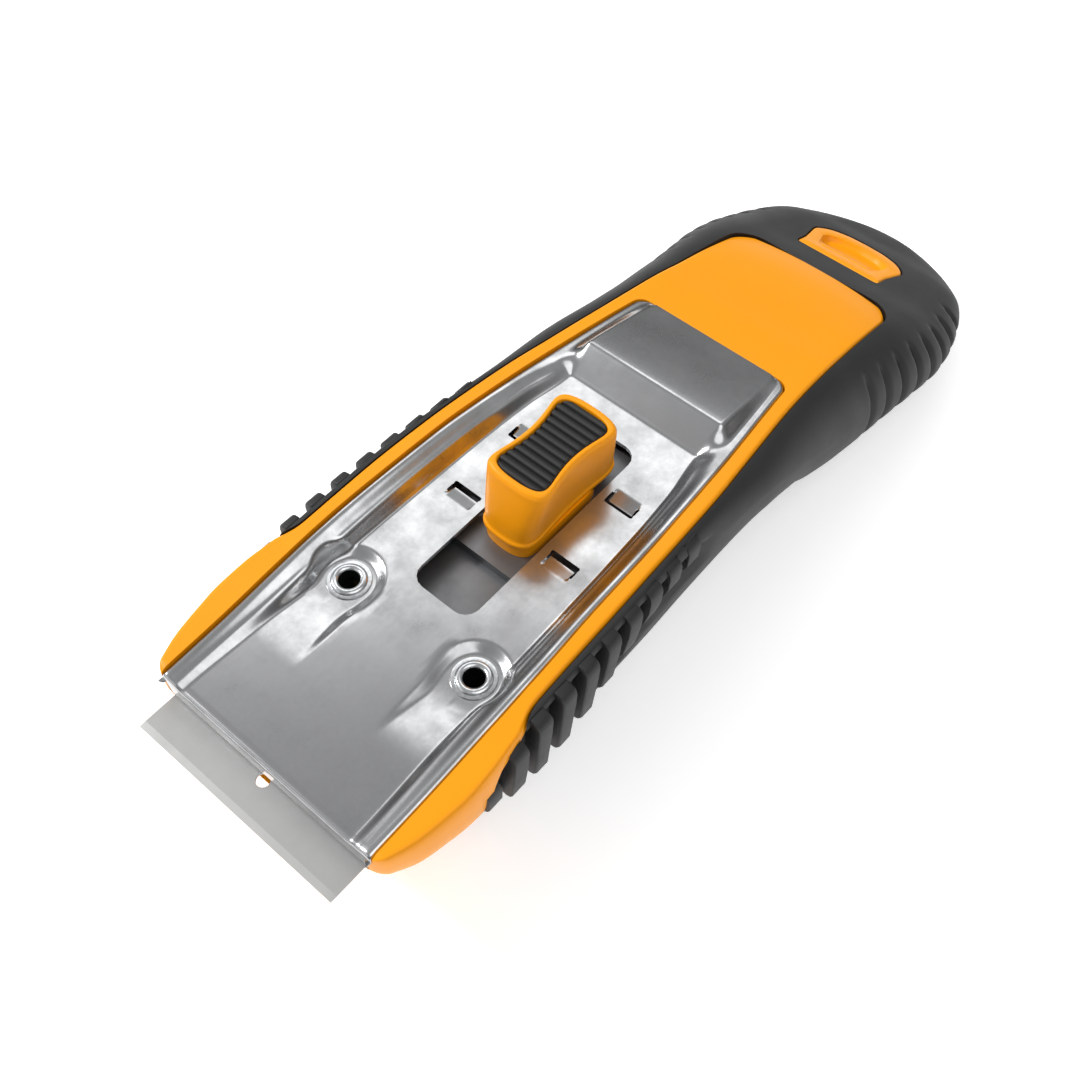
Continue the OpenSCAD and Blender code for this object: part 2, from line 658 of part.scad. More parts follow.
// Each spacer is a block at its eyelet and a rail beside the shoe's whole travel
neck_gap = 0.2;
shoe_lead = 3;
rail_spare = 2;
shoe_front = button_front - shoe_lead;
shoe_back = shoe_front + shoe_l;
block_front = base_wide_l + base_t;
block_back = shoe_front - advance - 2 * stop_gap;
rail_in = shoe_w / 2 + 2 * neck_gap + spring_t;
rail_back = shoe_back + retract + rail_spare;
notch_r = 0.6;
module spacer() {
    difference() {
        translate([0, 0, base_top]) linear_extrude(dish_under - base_top) difference() {
            polygon([[-block_front, neck_w / 2 + neck_gap], [-block_back, neck_w / 2 + neck_gap],
                     [-block_back, rail_in], [-rail_back, rail_in],
                     [-rail_back, rail_half * 0.93], [-block_front, rail_half]]);
            translate([-eyelet_x, eyelet_y]) circle(r = eyelet_r + fit);
            for (d = [-retract, 0, advance]) translate([-spring_x + d, rail_in]) circle(r = notch_r);
        }
    }
}
module left_spacer() { color("#5b5e60") placed() spacer(); }
module right_spacer() { color("#5b5e60") placed() mirror([0, 1, 0]) spacer(); }

// The blade stands on the carrier's leaf, hooked on two pins near its back
pin_inset = 2.4;
pin_back = blade_l - pin_inset;
pin_y = 0.36 * blade_w;
module blade_shape(x, z) {
    bevel = 0.06 * blade_l;
    translate([x, blade_half, z]) rotate([90, 0, 0]) linear_extrude(blade_w)
        polygon([[0, blade_t / 2 - blade_t / 8], [0, blade_t / 2 + blade_t / 8], [-bevel, blade_t],
                 [-blade_l, blade_t], [-blade_l, 0], [-bevel, 0]]);
}
module blade() {
    color("#b4b5b4") placed() difference() {
        blade_shape(blade_out, leaf_top);
        translate([blade_out - blade_hole_back, 0, leaf_top - over]) cylinder(d = blade_hole_d, h = blade_t + 2 * over);
        both_sides() translate([blade_out - pin_back, pin_y, leaf_top - over])
            cylinder(d = pin_d + 2 * fit, h = blade_t + 2 * over);
    }
}
module blade_pins() {
    color("#8d9194") placed() both_sides() translate([blade_out - pin_back, pin_y, leaf_under])
        cylinder(d = pin_d, h = leaf_t + blade_t + lip_gap / 2);
}

leaf_front = 0.06 * blade_l;
leaf_spare = 5.5;
leaf_wide_l = blade_l - blade_out + leaf_spare;
rivet_r = 1;
rivet_y = 0.36 * shoe_w;
rivet_inset = 4;
rivet_back = shoe_back - rivet_inset;
module blade_carrier() {
    color("#6a6c6e") placed() difference() {
        translate([0, 0, leaf_under]) linear_extrude(leaf_t)
            polygon([[-leaf_front, -blade_half + plate_side], [-leaf_wide_l, -blade_half + plate_side],
                     [-leaf_wide_l, -neck_w / 2], [-shoe_front, -neck_w / 2], [-shoe_front, -shoe_w / 2],
                     [-shoe_back, -shoe_w / 2], [-shoe_back, shoe_w / 2], [-shoe_front, shoe_w / 2],
                     [-shoe_front, neck_w / 2], [-leaf_wide_l, neck_w / 2],
                     [-leaf_wide_l, blade_half - plate_side], [-leaf_front, blade_half - plate_side]]);
        both_sides() {
            translate([blade_out - pin_back, pin_y, leaf_under - over]) cylinder(d = pin_d, h = leaf_t + 2 * over);
            translate([-rivet_back, rivet_y, leaf_under - over]) cylinder(r = rivet_r, h = leaf_t + 2 * over);
        }
        for (x = screw_places) {
            translate([-x, 0, leaf_under - over]) cylinder(r = stem_screw_r + slip, h = leaf_t + 2 * over);
            translate([-x, 0, leaf_under]) cylinder(r1 = 2 * stem_screw_r + slip, r2 = stem_screw_r + slip, h = leaf_t * 0.9);
        }
    }
}
module shoe_rivets() {
    color("#a3a6a8") placed() both_sides() translate([-rivet_back, rivet_y, leaf_under])
        cylinder(r = rivet_r, h = leaf_t + shoe_t);
}
// The shoe is hollowed at its sides, where the spring's arms lie
spring_x = shoe_front + 0.5 * shoe_l;
spring_h = 0.6 * shoe_t;
arm_l = 0.3 * shoe_l;
pocket_w = 2.4 * spring_t;
module slider_shoe() {
    color("#2b2c2d") placed() difference() {
        translate([-shoe_back, -shoe_w / 2, leaf_top]) cube([shoe_l, shoe_w, shoe_t]);
        both_sides() {
            translate([-rivet_back, rivet_y, leaf_top - over]) cylinder(r = rivet_r, h = shoe_t + 2 * over);
            translate([-spring_x - arm_l - slip, shoe_w / 2 - pocket_w, leaf_top - over])
                cube([2 * arm_l + 2 * slip, pocket_w + over, spring_h + over + slip]);
        }
        translate([-spring_x - spring_t - slip, -shoe_w / 2, leaf_top - over])
            cube([2 * (spring_t + slip), shoe_w, spring_h + over + slip]);
        for (x = screw_places) translate([-x, 0, leaf_top - over]) cylinder(r = stem_screw_r + slip, h = shoe_t + 2 * over);
    }
}
// One bent strip: a cross bar and an arm along each side, each with a round bump
module detent_spring() {
    bump = rail_in - neck_gap - shoe_w / 2 + spring_t;
    color("#c9ccce") placed() difference() {
        union() {
            translate([-spring_x - spring_t, -shoe_w / 2 + spring_t, leaf_top])
                cube([2 * spring_t, shoe_w - 2 * spring_t, spring_h]);
            both_sides() {
                translate([-spring_x - arm_l, shoe_w / 2 - spring_t, leaf_top]) cube([2 * arm_l, spring_t, spring_h]);
                intersection() {
                    translate([-spring_x, shoe_w / 2 - spring_t, leaf_top]) cylinder(r = bump, h = spring_h);
                    translate([-spring_x - bump, shoe_w / 2 - spring_t, leaf_top]) cube([2 * bump, 2 * bump, spring_h]);
                }
            }
        }
        for (x = screw_places) translate([-x, 0, leaf_top - over]) cylinder(r = stem_screw_r + slip, h = shoe_t + 2 * over);
    }
}

// The button is drawn in at its waist; t runs from -1 at its rear to 1 at its front
plan_steps = 14;
function plan_half(t, ends, waist) = (waist + (ends - waist) * t * t) * pow(max(1 - pow(abs(t), 7), 0), 0.4);
function button_plan(front, back, ends, waist) = let (
        mid = -(front + back) / 2,
        half = (back - front) / 2,
        ts = [for (i = [0:plan_steps]) sin(-90 + 180 * i / plan_steps)])
    concat([for (t = ts) if (abs(t) < 1) [mid + half * t, -plan_half(t, ends, waist)]],
           [for (i = [plan_steps:-1:0]) let (t = ts[i]) if (abs(t) < 1) [mid + half * t, plan_half(t, ends, waist)]]);
// A solid through level outlines, each a list of [x, y] points at the heights zs
module stack_of(zs, plans) {
    n = len(plans[0]);
    m = len(zs);
    points = [for (k = [0:m - 1]) for (p = plans[k]) [p[0], p[1], zs[k]]];
    sides = [for (k = [0:m - 2]) for (i = [0:n - 1]) let (j = (i + 1) % n)
        each [[k * n + i, k * n + n + j, k * n + j], [k * n + i, k * n + n + i, k * n + n + j]]];
    polyhedron(points = points,
               faces = concat(sides, [[for (i = [0:n - 1]) i], [for (i = [n - 1:-1:0]) (m - 1) * n + i]]));
}
button_lift = 0.35;
stem_inset = 0.2;
button_base = floor_h + button_lift;
stem_back = slot_front + slot_l - retract - stop_gap;
screw_inset = 4.5;
screw_places = [button_front + screw_inset, stem_back - screw_inset];
stem_screw_r = 0.9;
stem_screw_l = 0.5 * (button_h - shoe_top);
top_front = button_front + 0.62 * (button_l - button_top_l);
top_back = top_front + button_top_l;
pad_t = 0.11 * button_h;
function pad_outline(grow) = button_plan(top_front + pad_rim - grow, top_back - pad_rim + grow,
    button_w / 2 * 0.96 - pad_rim + grow, waist_w / 2 - pad_rim * 0.8 + grow);
function level_outline(s) = button_plan(
    button_front + s[1] * (top_front - button_front),
    button_front + button_l + s[1] * (top_back - button_front - button_l),
    button_w / 2 * s[2], button_w / 2 * s[2] + (waist_w - button_w) / 2 * s[3]);
// The last two outlines are the pad's pocket in the button's top
module button_levels(shares) {
    stack_of(concat([for (s = shares) button_base + s[0] * (button_h - button_base)], [button_h, button_h - pad_t]),
             concat([for (s = shares) level_outline(s)], [pad_outline(0), pad_outline(0)]));
}
level_shares = [[0, 0, 0.93, 0.3], [0.3, 0.2, 0.95, 0.5], [0.65, 0.62, 0.98, 0.8], [0.92, 0.95, 1, 1], [1, 1.05, 0.95, 1]];
module pad_plan(grow) {
    polygon(pad_outline(grow));
}
module thumb_button() {
    color("orange") placed() difference() {
        union() {
            button_levels(level_shares);
            translate([0, 0, shoe_top]) linear_extrude(button_base + button_lift - shoe_top)
                polygon(button_plan(button_front + stem_inset, stem_back, button_w / 2 - stem_inset,
                                    button_w / 2 - stem_inset));
        }
        for (x = screw_places) translate([-x, 0, shoe_top - over]) cylinder(r = stem_screw_r, h = stem_screw_l + over);
    }
}
rib_pitch = (button_top_l - 2 * pad_rim) / ribs;
module button_pad() {
    color("#333436") placed() {
        translate([0, 0, button_h - pad_t]) linear_extrude(pad_t * 0.75) pad_plan(-fit);
        intersection() {
            translate([0, 0, button_h - pad_t]) linear_extrude(2 * pad_t) pad_plan(-fit);
            for (i = [0:ribs - 1]) translate([-top_front - pad_rim - rib_pitch * (i + 0.5), button_w / 2, button_h - pad_t * 0.25])
                rotate([90, 0, 0]) cylinder(r = rib_pitch * 0.32, h = button_w);
        }
    }
}
module button_screws() {
    color("#b0b3b5") placed() for (x = screw_places) translate([-x, 0, leaf_under]) {
        cylinder(r = stem_screw_r, h = leaf_t + shoe_t + stem_screw_l * 0.9);
        cylinder(r1 = 2 * stem_screw_r, r2 = stem_screw_r, h = leaf_t * 0.8);
    }
}

// Screws: a low round head with a crossed recess under a plain shank
head_r = 2.4;
head_h = 1.4;
screw_l = 9;
tie_l = 2.6;
module screw(length) {
    difference() {
        translate([0, 0, -head_h]) cylinder(r1 = head_r * 0.8, r2 = head_r, h = head_h);
        for (a = [0, 90]) rotate([0, 0, a]) translate([-head_r * 0.5, -head_r * 0.1, -head_h - over])
            cube([head_r, head_r * 0.2, over + head_h * 0.5]);
    }
    cylinder(r = boss_hole, h = length);
}
module cartridge_screws() {
    color("#b0b3b5") placed() both_sides() translate([-tie_x, tie_y, base_under]) screw(base_t + tie_l * 0.9);
}
module housing_screws() {
    color("#b0b3b5") placed() both_sides() translate([-boss_x, boss_y, -rest_h + skin_t]) screw(core_t + screw_l * 0.9);
}

// The tray lies on the core's floor; its walls follow the tail's slope
module storage_tray() {
    tail_rise = top_z(tray_back) - skin_t - 2 * core_t - tray_floor;
    color("#4a4b4d") placed() difference() {
        translate([0, tray_half, 0]) rotate([90, 0, 0]) linear_extrude(2 * tray_half)
            polygon([[-tray_front, tray_floor], [-tray_front, tray_floor + tray_rise],
                     [-lid_front + tray_t, tray_floor + tray_rise], [-tray_back, tray_floor + tail_rise],
                     [-tray_back, tray_floor]]);
        translate([-tray_back + tray_t, -tray_half + tray_t, tray_floor + tray_t])
            cube([tray_back - tray_front - 2 * tray_t, 2 * (tray_half - tray_t), tray_rise]);
    }
}
module spare_blades() {
    color("#b4b5b4") placed() for (i = [0:spares - 1])
        translate([-spare_front - blade_w / 2, blade_l / 2, tray_floor + tray_t + i * blade_t])
            rotate([0, 0, 90]) difference() {
                blade_shape(0, 0);
                translate([-blade_hole_back, 0, -over]) cylinder(d = blade_hole_d, h = blade_t + 2 * over);
            }
}

nick_w = 0.55 * lid_w;
nick_h = 0.5 * lid_t;
module storage_lid() {
    color("orange") placed() difference() {
        union() {
            on_lid() {
                translate([0, 0, -lid_t]) linear_extrude(lid_t) lid_plan(0, -knuckle_r);
                translate([-knuckle_r, -lid_w / 2, -knuckle_r]) rotate([-90, 0, 0]) cylinder(r = knuckle_r, h = lid_w);
                translate([-lid_l + 2 * lid_ledge + slip + seam, -nick_w / 4, -2 * lid_t])
                    cube([tray_t, nick_w / 2, lid_t + fit]);
            }
        }
        on_lid() translate([-0.62 * lid_l, -nick_w / 2, nick_h * 0.6]) rotate([0, 12, 0])
            translate([-nick_w * 0.3, 0, -nick_h]) cube([nick_w * 0.5, nick_w, 2 * nick_h]);
        hinge_rod(hinge_d / 2 + fit, lid_w);
    }
}
module lid_hinge_pin() {
    color("#b0b3b5") placed() hinge_rod(hinge_d / 2, lug_y + lug_w);
}

handle_frame();
rubber_grip();
grip_core();
cover_plate();
base_plate();
left_spacer();
right_spacer();
eyelet_rivets();
blade();
blade_pins();
blade_carrier();
slider_shoe();
shoe_rivets();
detent_spring();
thumb_button();
button_pad();
button_screws();
cartridge_screws();
housing_screws();
storage_tray();
spare_blades();
storage_lid();
lid_hinge_pin();
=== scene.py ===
# %% [markdown]
# # A razor blade scraper
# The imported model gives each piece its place, in metres, with the cutting edge towards +X. This lesson
# dresses it: smooth moulded shells, a pressed steel plate, a ribbed thumb pad and finishes that come
# from real materials. Lengths below are in millimetres and MM turns them to metres.

# %% The frame and the units
import math

import bpy
import numpy as np
from mathutils import Matrix, Vector


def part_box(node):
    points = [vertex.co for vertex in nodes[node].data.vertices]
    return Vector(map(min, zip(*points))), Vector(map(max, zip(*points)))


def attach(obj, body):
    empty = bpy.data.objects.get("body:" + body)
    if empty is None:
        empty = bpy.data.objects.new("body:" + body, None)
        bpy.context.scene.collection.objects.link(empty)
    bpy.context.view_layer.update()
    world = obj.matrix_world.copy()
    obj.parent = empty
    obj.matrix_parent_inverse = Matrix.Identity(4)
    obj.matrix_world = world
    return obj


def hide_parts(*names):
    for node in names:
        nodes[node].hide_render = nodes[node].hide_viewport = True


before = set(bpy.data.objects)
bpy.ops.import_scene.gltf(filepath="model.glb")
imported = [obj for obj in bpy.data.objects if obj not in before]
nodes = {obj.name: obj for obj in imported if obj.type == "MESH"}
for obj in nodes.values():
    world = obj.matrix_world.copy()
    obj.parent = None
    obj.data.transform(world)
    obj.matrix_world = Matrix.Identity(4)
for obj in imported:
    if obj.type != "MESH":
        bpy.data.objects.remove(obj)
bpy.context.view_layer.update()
MM = 0.001
LIP_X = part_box("cover_plate")[1].x / MM
BLADE_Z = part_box("blade")[1].z / MM
PLATE_L = LIP_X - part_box("cover_plate")[0].x / MM
BODY_L = LIP_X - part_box("rubber_grip")[0].x / MM
print("lip at x", round(LIP_X, 2), "blade top at z", round(BLADE_Z, 2))
print("plate", round(PLATE_L, 1), "body", round(BODY_L, 1))

# %% [markdown]
# Every place is counted from the front lip of the steel plate: `back` is the distance behind the lip,
# `side` the distance from the middle line and `up` the height above the blade's top face. A skin is
# made from Blender's grid primitive, whose points are then laid out row by row. Rows that close on
# themselves make a tube, which is merged along its join and capped.

# %% Skins from the grid primitive
def places(back, side, up):
    """Points of the shared frame, in mm, from distances behind the lip, sideways and up."""
    back, side, up = np.broadcast_arrays(back, side, up)
    return np.stack([LIP_X - back, side, BLADE_Z + up], -1).astype(float)


def only(obj):
    bpy.ops.object.select_all(action="DESELECT")
    obj.select_set(True)
    bpy.context.view_layer.objects.active = obj


def skin(name, rows):
    """A grid whose points take the places in rows, an array of rows by columns by 3, in mm."""
    bpy.ops.object.select_all(action="DESELECT")
    down, across = rows.shape[:2]
    bpy.ops.mesh.primitive_grid_add(x_subdivisions=across - 1, y_subdivisions=down - 1, size=1)
    obj = bpy.context.object
    obj.name = obj.data.name = name
    assert len(obj.data.vertices) == down * across, (name, len(obj.data.vertices), down, across)
    obj.data.vertices.foreach_set("co", (rows.reshape(-1, 3) * MM).ravel())
    obj.data.update()
    return obj


# Edit-mode steps: the operator and its settings
MERGE_POINTS = bpy.ops.mesh.remove_doubles, {"threshold": 0.002 * MM}
FILL_ENDS = bpy.ops.mesh.fill_holes, {"sides": 0}
FACE_OUT = bpy.ops.mesh.normals_make_consistent, {"inside": False}


def edit(obj, *steps):
    """Runs the steps on the whole mesh and points its faces outwards."""
    only(obj)
    bpy.ops.object.mode_set(mode="EDIT")
    for operator, settings in steps + (FACE_OUT,):
        bpy.ops.mesh.select_all(action="SELECT")
        operator(**settings)
    bpy.ops.object.mode_set(mode="OBJECT")
    return obj


def open_edges(obj):
    """The edges that don't have two faces, which a Boolean can't work with."""
    uses = np.zeros(len(obj.data.edges), int)
    index = np.zeros(len(obj.data.loops), int)
    obj.data.loops.foreach_get("edge_index", index)
    np.add.at(uses, index, 1)
    return [e for e, n in zip(obj.data.edges, uses) if n != 2]


def tube(name, loops):
    """A closed solid through loops: an array of loops by points by 3, in mm."""
    obj = edit(skin(name, np.concatenate([loops, loops[:, :1]], 1)), MERGE_POINTS, FILL_ENDS)
    if open_edges(obj):
        print("open edges in", name, len(open_edges(obj)))
    return obj


def finish_modifier(obj, kind, **settings):
    only(obj)
    mod = obj.modifiers.new(kind.title(), kind)
    for key, value in settings.items():
        setattr(mod, key, value)
    bpy.ops.object.modifier_apply(modifier=mod.name)


def carve(obj, cutter, operation="DIFFERENCE"):
    """Cuts one solid with another, or joins them, and removes the cutter."""
    finish_modifier(obj, "BOOLEAN", operation=operation, object=cutter, solver="MANIFOLD")
    if open_edges(obj):
        print("open edges after", cutter.name, len(open_edges(obj)))
    bpy.data.objects.remove(cutter)
    return obj


def smooth(obj, angle=35):
    only(obj)
    bpy.ops.object.shade_smooth_by_angle(angle=math.radians(angle))
    return obj


# %% [markdown]
# Moulded shapes are drawn through a few measured stations. A monotone cubic runs through them without
# overshooting, so the widest station stays the widest place of the finished piece.

# %% Curves through stations
def through(pairs):
    """A smooth function through (place, value) pairs that never swings past its neighbours."""
    x, y = np.array(pairs, float).T
    h, d = np.diff(x), np.diff(y) / np.diff(x)
    m = np.zeros(len(x))
    same = d[:-1] * d[1:] > 0
    m[1:-1][same] = 2 * d[:-1][same] * d[1:][same] / (d[:-1] + d[1:])[same]
    m[0], m[-1] = d[0], d[-1]

    def value(at):
        at = np.clip(np.asarray(at, float), x[0], x[-1])
        i = np.clip(np.searchsorted(x, at) - 1, 0, len(x) - 2)
        t = (at - x[i]) / h[i]
        return ((1 + 2 * t) * (1 - t) ** 2 * y[i] + t * (1 - t) ** 2 * h[i] * m[i]
                + t * t * (3 - 2 * t) * y[i + 1] + t * t * (t - 1) * h[i] * m[i + 1])
    return value


def ramp(t, ease=0.2):
    """0 to 1 along a straight slope whose two ends are rounded over a share of its length."""
    t = np.clip(t, 0, 1)
    k = 1 / (1 - ease)
    low, high = k * t * t / (2 * ease), 1 - k * (1 - t) ** 2 / (2 * ease)
    return np.where(t < ease, low, np.where(t > 1 - ease, high, k * (t - ease / 2)))


def edge_drop(depth, radius):
    """How far a rounded edge of this radius lies under the flat, at a depth in from the edge."""
    d = np.clip(depth, 0, radius)
    return radius - np.sqrt(np.maximum(radius ** 2 - (radius - d) ** 2, 0))


# %% [markdown]
# ## The handle's stations
# Each row is one slice across the handle: its place behind the lip, half the width of the yellow rim,
# half the width of the grip, the height of the top, of the widest line and of the underside, and half
# the width of the flat underside.

# %% Stations of the handle
STATIONS = [
    (0, 21.8, 22.2, 5.1, 1.75, -3.75, 16.6),
    (2, 22.3, 23.2, 5.2, 1.75, -5.5, 17.2),
    (6, 23.3, 24.6, 5.4, 1.75, -9.0, 18.0),
    (10.3, 24.0, 25.3, 5.65, 1.9, -11.2, 18.0),
    (15, 24.4, 25.8, 6.05, 2.0, -13.3, 17.8),
    (20, 24.2, 25.6, 6.6, 2.0, -16.2, 17.0),
    (25, 23.7, 25.0, 7.1, 1.5, -19.0, 15.4),
    (30, 23.25, 24.8, 7.55, 1.0, -21.4, 13.8),
    (37, 23.05, 24.7, 7.95, 1.0, -23.6, 12.3),
    (46.2, 22.85, 24.6, 8.2, 1.0, -25.0, 11.4),
    (56.4, 22.45, 24.5, 8.05, 1.0, -25.0, 11.4),
    (66.7, 21.9, 24.4, 7.45, 1.25, -23.5, 11.6),
    (76, 21.25, 24.6, 6.65, 1.4, -20.8, 11.9),
    (84, 20.4, 24.8, 5.85, 0.8, -18.9, 12.2),
    (91, 19.65, 25.0, 5.2, -1.0, -18.3, 12.6),
    (97.5, 18.95, 25.0, 4.5, -3.5, -19.0, 13.0),
    (104.3, 18.4, 25.2, 3.55, -6.0, -23.0, 13.9),
    (112.0, 17.95, 25.6, 2.1, -9.0, -25.0, 14.4),
    (118.0, 17.6, 26.0, 0.5, -11.0, -25.0, 14.4),
    (125.7, 17.35, 26.7, -1.4, -12.0, -25.0, 14.4),
    (133.0, 17.15, 27.4, -3.5, -13.0, -25.0, 14.4),
    (140.2, 16.9, 27.7, -6.3, -15.0, -25.0, 14.4),
    (146.6, 15.6, 27.0, -9.1, -16.2, -25.0, 14.4),
    (153.9, 14.2, 24.9, -12.0, -17.2, -25.0, 14.4),
    (160.1, 12.4, 21.9, -14.5, -18.2, -25.0, 13.3),
    (164.2, 9.6, 18.0, -16.5, -19.2, -24.4, 10.0),
    (167.6, 6.3, 12.7, -18.0, -20.0, -23.4, 6.1),
    (169.8, 3.0, 7.5, -19.1, -20.5, -22.1, 2.5),
    (171.0, 1.2, 3.0, -20.0, -20.8, -21.4, 0.8),
]
rim_half, grip_half, top_up, wide_up, under_up, under_half = [
    through([(row[0], row[k]) for row in STATIONS]) for k in range(1, 7)]
FRAME_T = 2.4
FLANK_POWER = 1.15
# How far the black wall starts under the yellow top, and how square its shoulder is
step_down = through([(0, 0), (20, 0), (30, 0.3), (104, 0.3), (126, 0.15), (139, 0), (171, 0)])
shoulder_power = through([(0, 0.7), (15, 0.55), (25, 0.45), (50, 0.45), (66, 0.8), (78, 1.15),
                          (104, 1.2), (120, 1), (171, 1)])


def wall_point(back, q):
    """Half width and height of the handle's side: q is 0 at the rim, 1 at the widest line, 2 below."""
    rim, wide, under = rim_half(back), grip_half(back), under_half(back)
    start, middle, power = top_up(back) - step_down(back), wide_up(back), shoulder_power(back)
    shoulder, flank = np.clip(q, 0, 1) * math.pi / 2, np.clip(q - 1, 0, 1) * math.pi / 2
    side = np.where(q <= 1, rim + (wide - rim) * np.sin(shoulder) ** power,
                    under + (wide - under) * np.cos(flank) ** FLANK_POWER)
    up = np.where(q <= 1, middle + (start - middle) * np.cos(shoulder) ** power,
                  middle + (under_up(back) - middle) * np.sin(flank))
    return side, up


def mirror_loop(half):
    """A whole slice from its half: rows of (back, side, up) from the top's middle to the bottom's."""
    other = half[::-1] * [1, -1, 1]
    return np.concatenate([half, other[1:-1]])


def slices(name, halves):
    loops = np.stack([mirror_loop(h) for h in halves])
    return tube(name, places(loops[..., 0], loops[..., 1], loops[..., 2]))


# %% [markdown]
# ## The yellow frame
# The real frame is one injection moulding: a nose with two cheeks, a narrow rim on each side of the
# plate and a panel behind it. It is drawn as slices. In the nose a slice runs down the whole side,
# and behind it the slice shrinks up to the rim along a curved line, where the black starts. The same
# slices, grown by the seam, later cut the black, so the dark line between them is even.

# %% Slices of the yellow frame
PANEL_END = 139.8
PANEL_R = 4.6
PANEL_BOW = 1.64
EDGE_R = 0.7
NOSE_R = 1.8
SEAM = 0.22
BOW_FROM, BOW_RUN = 118, 20
# Where the yellow stops covering the whole side, and where the black reaches the rim's edge
NOSE_SPLIT, NOSE_TIP = 16.6, 31.0
NOSE_BLEND = 6
nose_edge_up = through([(16.6, -14.8), (16.9, -10), (17.3, -5.5), (18, -2.5), (18.75, 0), (19.6, 2.2),
                        (20.8, 4.1), (22.8, 5.4), (25, 6.2), (28.5, 6.9), (31, 7.2)])


def nose_q(back):
    """How far down the side the yellow reaches, as the q of wall_point."""
    up, wide = nose_edge_up(back), wide_up(back)
    start = top_up(back) - step_down(back)
    above = np.arccos(np.clip((up - wide) / (start - wide), 0, 1) ** (1 / shoulder_power(back)))
    below = np.arcsin(np.clip((up - wide) / (under_up(back) - wide), 0, 1))
    q = np.where(up > wide, above * 2 / math.pi, 1 + below * 2 / math.pi)
    return np.where(back < NOSE_SPLIT, 2.0, np.where(back > NOSE_TIP, 0.0, q))


def yellow_half(back, grow=0.0):
    """Half a slice of the frame, grown outwards for the cutter."""
    outline = PANEL_END + grow
    corner = np.clip(back - (outline - PANEL_R), 0, PANEL_R)
    width = rim_half(back) + grow - (PANEL_R - math.sqrt(max(PANEL_R ** 2 - corner ** 2, 0)))
    top = top_up(back) + (1.5 if grow else -float(edge_drop(outline - back, EDGE_R)))
    foot = top_up(back) - FRAME_T - grow
    turn = np.radians(np.linspace(0, 90, 8))
    flat = np.array([0, 0.25, 0.5, 0.75, 0.9]) * (width - EDGE_R)
    strip_side = np.concatenate([width - EDGE_R + EDGE_R * np.sin(turn), np.full(24, width)])
    strip_up = np.concatenate([top - EDGE_R * (1 - np.cos(turn)),
                               np.linspace(top - EDGE_R, foot, 25)[1:]])
    reach = min(float(nose_q(back - grow * 1.25)) + 0.4 * grow, 2)
    share_down = np.linspace(0, 1, 32)
    wall_side, wall_up = wall_point(back, reach * share_down)
    wall_side = wall_side + grow * 1.5
    wall_up = wall_up + grow * (1.2 - 2.2 * share_down ** 2)
    if grow:
        wall_up[0] = top
    share = float(ramp((NOSE_TIP - back) / NOSE_BLEND, 0.5))
    side = share * wall_side + (1 - share) * strip_side
    up = share * wall_up + (1 - share) * strip_up
    side = np.concatenate([flat, side, [side[-1], side[-1] * 0.6, 0]])
    up = np.concatenate([np.full(5, top), up, np.full(3, min(up[-1], foot))])
    if not grow:
        tuck = float(edge_drop(back, NOSE_R))
        side = np.maximum(side - tuck * (side > 1), 0)
        middle = (up[0] + up[-1]) / 2
        up = up - np.clip(up - middle, -1, 1) * tuck * 0.7
    bow = PANEL_BOW * float(ramp((back - BOW_FROM) / BOW_RUN, 0.5)) * (side / rim_half(PANEL_END)) ** 2
    return np.stack([np.full_like(side, back) - bow, side, up], -1)


def spread(*parts):
    return np.unique(np.concatenate([np.arange(a, b, step) for a, b, step in parts]).round(4))


nose_turn = NOSE_R * (1 - np.cos(np.radians(np.arange(0, 91, 12))))
tail_turn = PANEL_END - PANEL_R * (1 - np.sin(np.radians(np.arange(0, 90, 6))))
edge_turn = PANEL_END - EDGE_R * (1 - np.cos(np.radians(np.arange(15, 91, 15))))
TURN_FROM = 136
frame_backs = np.unique(np.concatenate([
    nose_turn, tail_turn, edge_turn, [PANEL_END],
    spread((2.0, 16.4, 1.1), (16.4, 18, 0.08), (18, 20, 0.2), (20, 32, 0.4),
           (32, TURN_FROM, 1.5))]).round(4))
handle_shell = slices("frame_shell", [yellow_half(b) for b in frame_backs])
cut_backs = np.unique(np.concatenate([
    [-1.0], frame_backs[frame_backs < TURN_FROM], tail_turn + SEAM, [PANEL_END + SEAM]]))
seam_cutter = slices("seam_cutter", [yellow_half(b, SEAM) for b in cut_backs])
print("yellow frame:", len(handle_shell.data.vertices), "points in", len(frame_backs), "slices")

# %% [markdown]
# The frame is a shell, so three cutters hollow it: a window that takes the steel plate with a hair of
# clearance, the channel that the blade runs in, and the space inside the nose. Each is a tube of the
# same kind, and the Boolean modifier does what a mould's core does.

# %% Window, channel and hollow nose
PLATE_HALF = 20.95
PLATE_CORNER = 2.0
PLATE_FIT = 0.14
SHEET_T = 0.8
HEM = 0.72
CHANNEL_HALF = 20.12
BASE_UNDER = -2.2
WELL_UNDER, OVER_ALL = -2.1, 11
plate_half = through([(0, 20.95), (25, 20.95), (35, 20.8), (46, 20.35), (58, 19.95), (64, 19.6),
                      (70, 19.15), (76, 18.65), (82, 18.1), (88, 17.45), (94, 16.75), (100, 16.05),
                      (103.8, 15.6)])
# The plate's rim follows the yellow, a little lower
rim_gap = through([(0, 0.3), (80, 0.3), (95, 0.15), (104, 0)])


def rim_up(back):
    return top_up(back) - rim_gap(back)


def seat_up(back):
    """The ledge under the plate's rim."""
    return rim_up(back) - HEM - SHEET_T / 2 - 0.05


SEAT_UP = float(seat_up(0.0))


def plate_edge(back, grow=0.0):
    """Half the plate's width, with its rear corners rounded."""
    into = np.clip(back - (PLATE_L + grow - PLATE_CORNER), 0, PLATE_CORNER)
    return plate_half(back) + grow - (PLATE_CORNER - np.sqrt(PLATE_CORNER ** 2 - into ** 2))


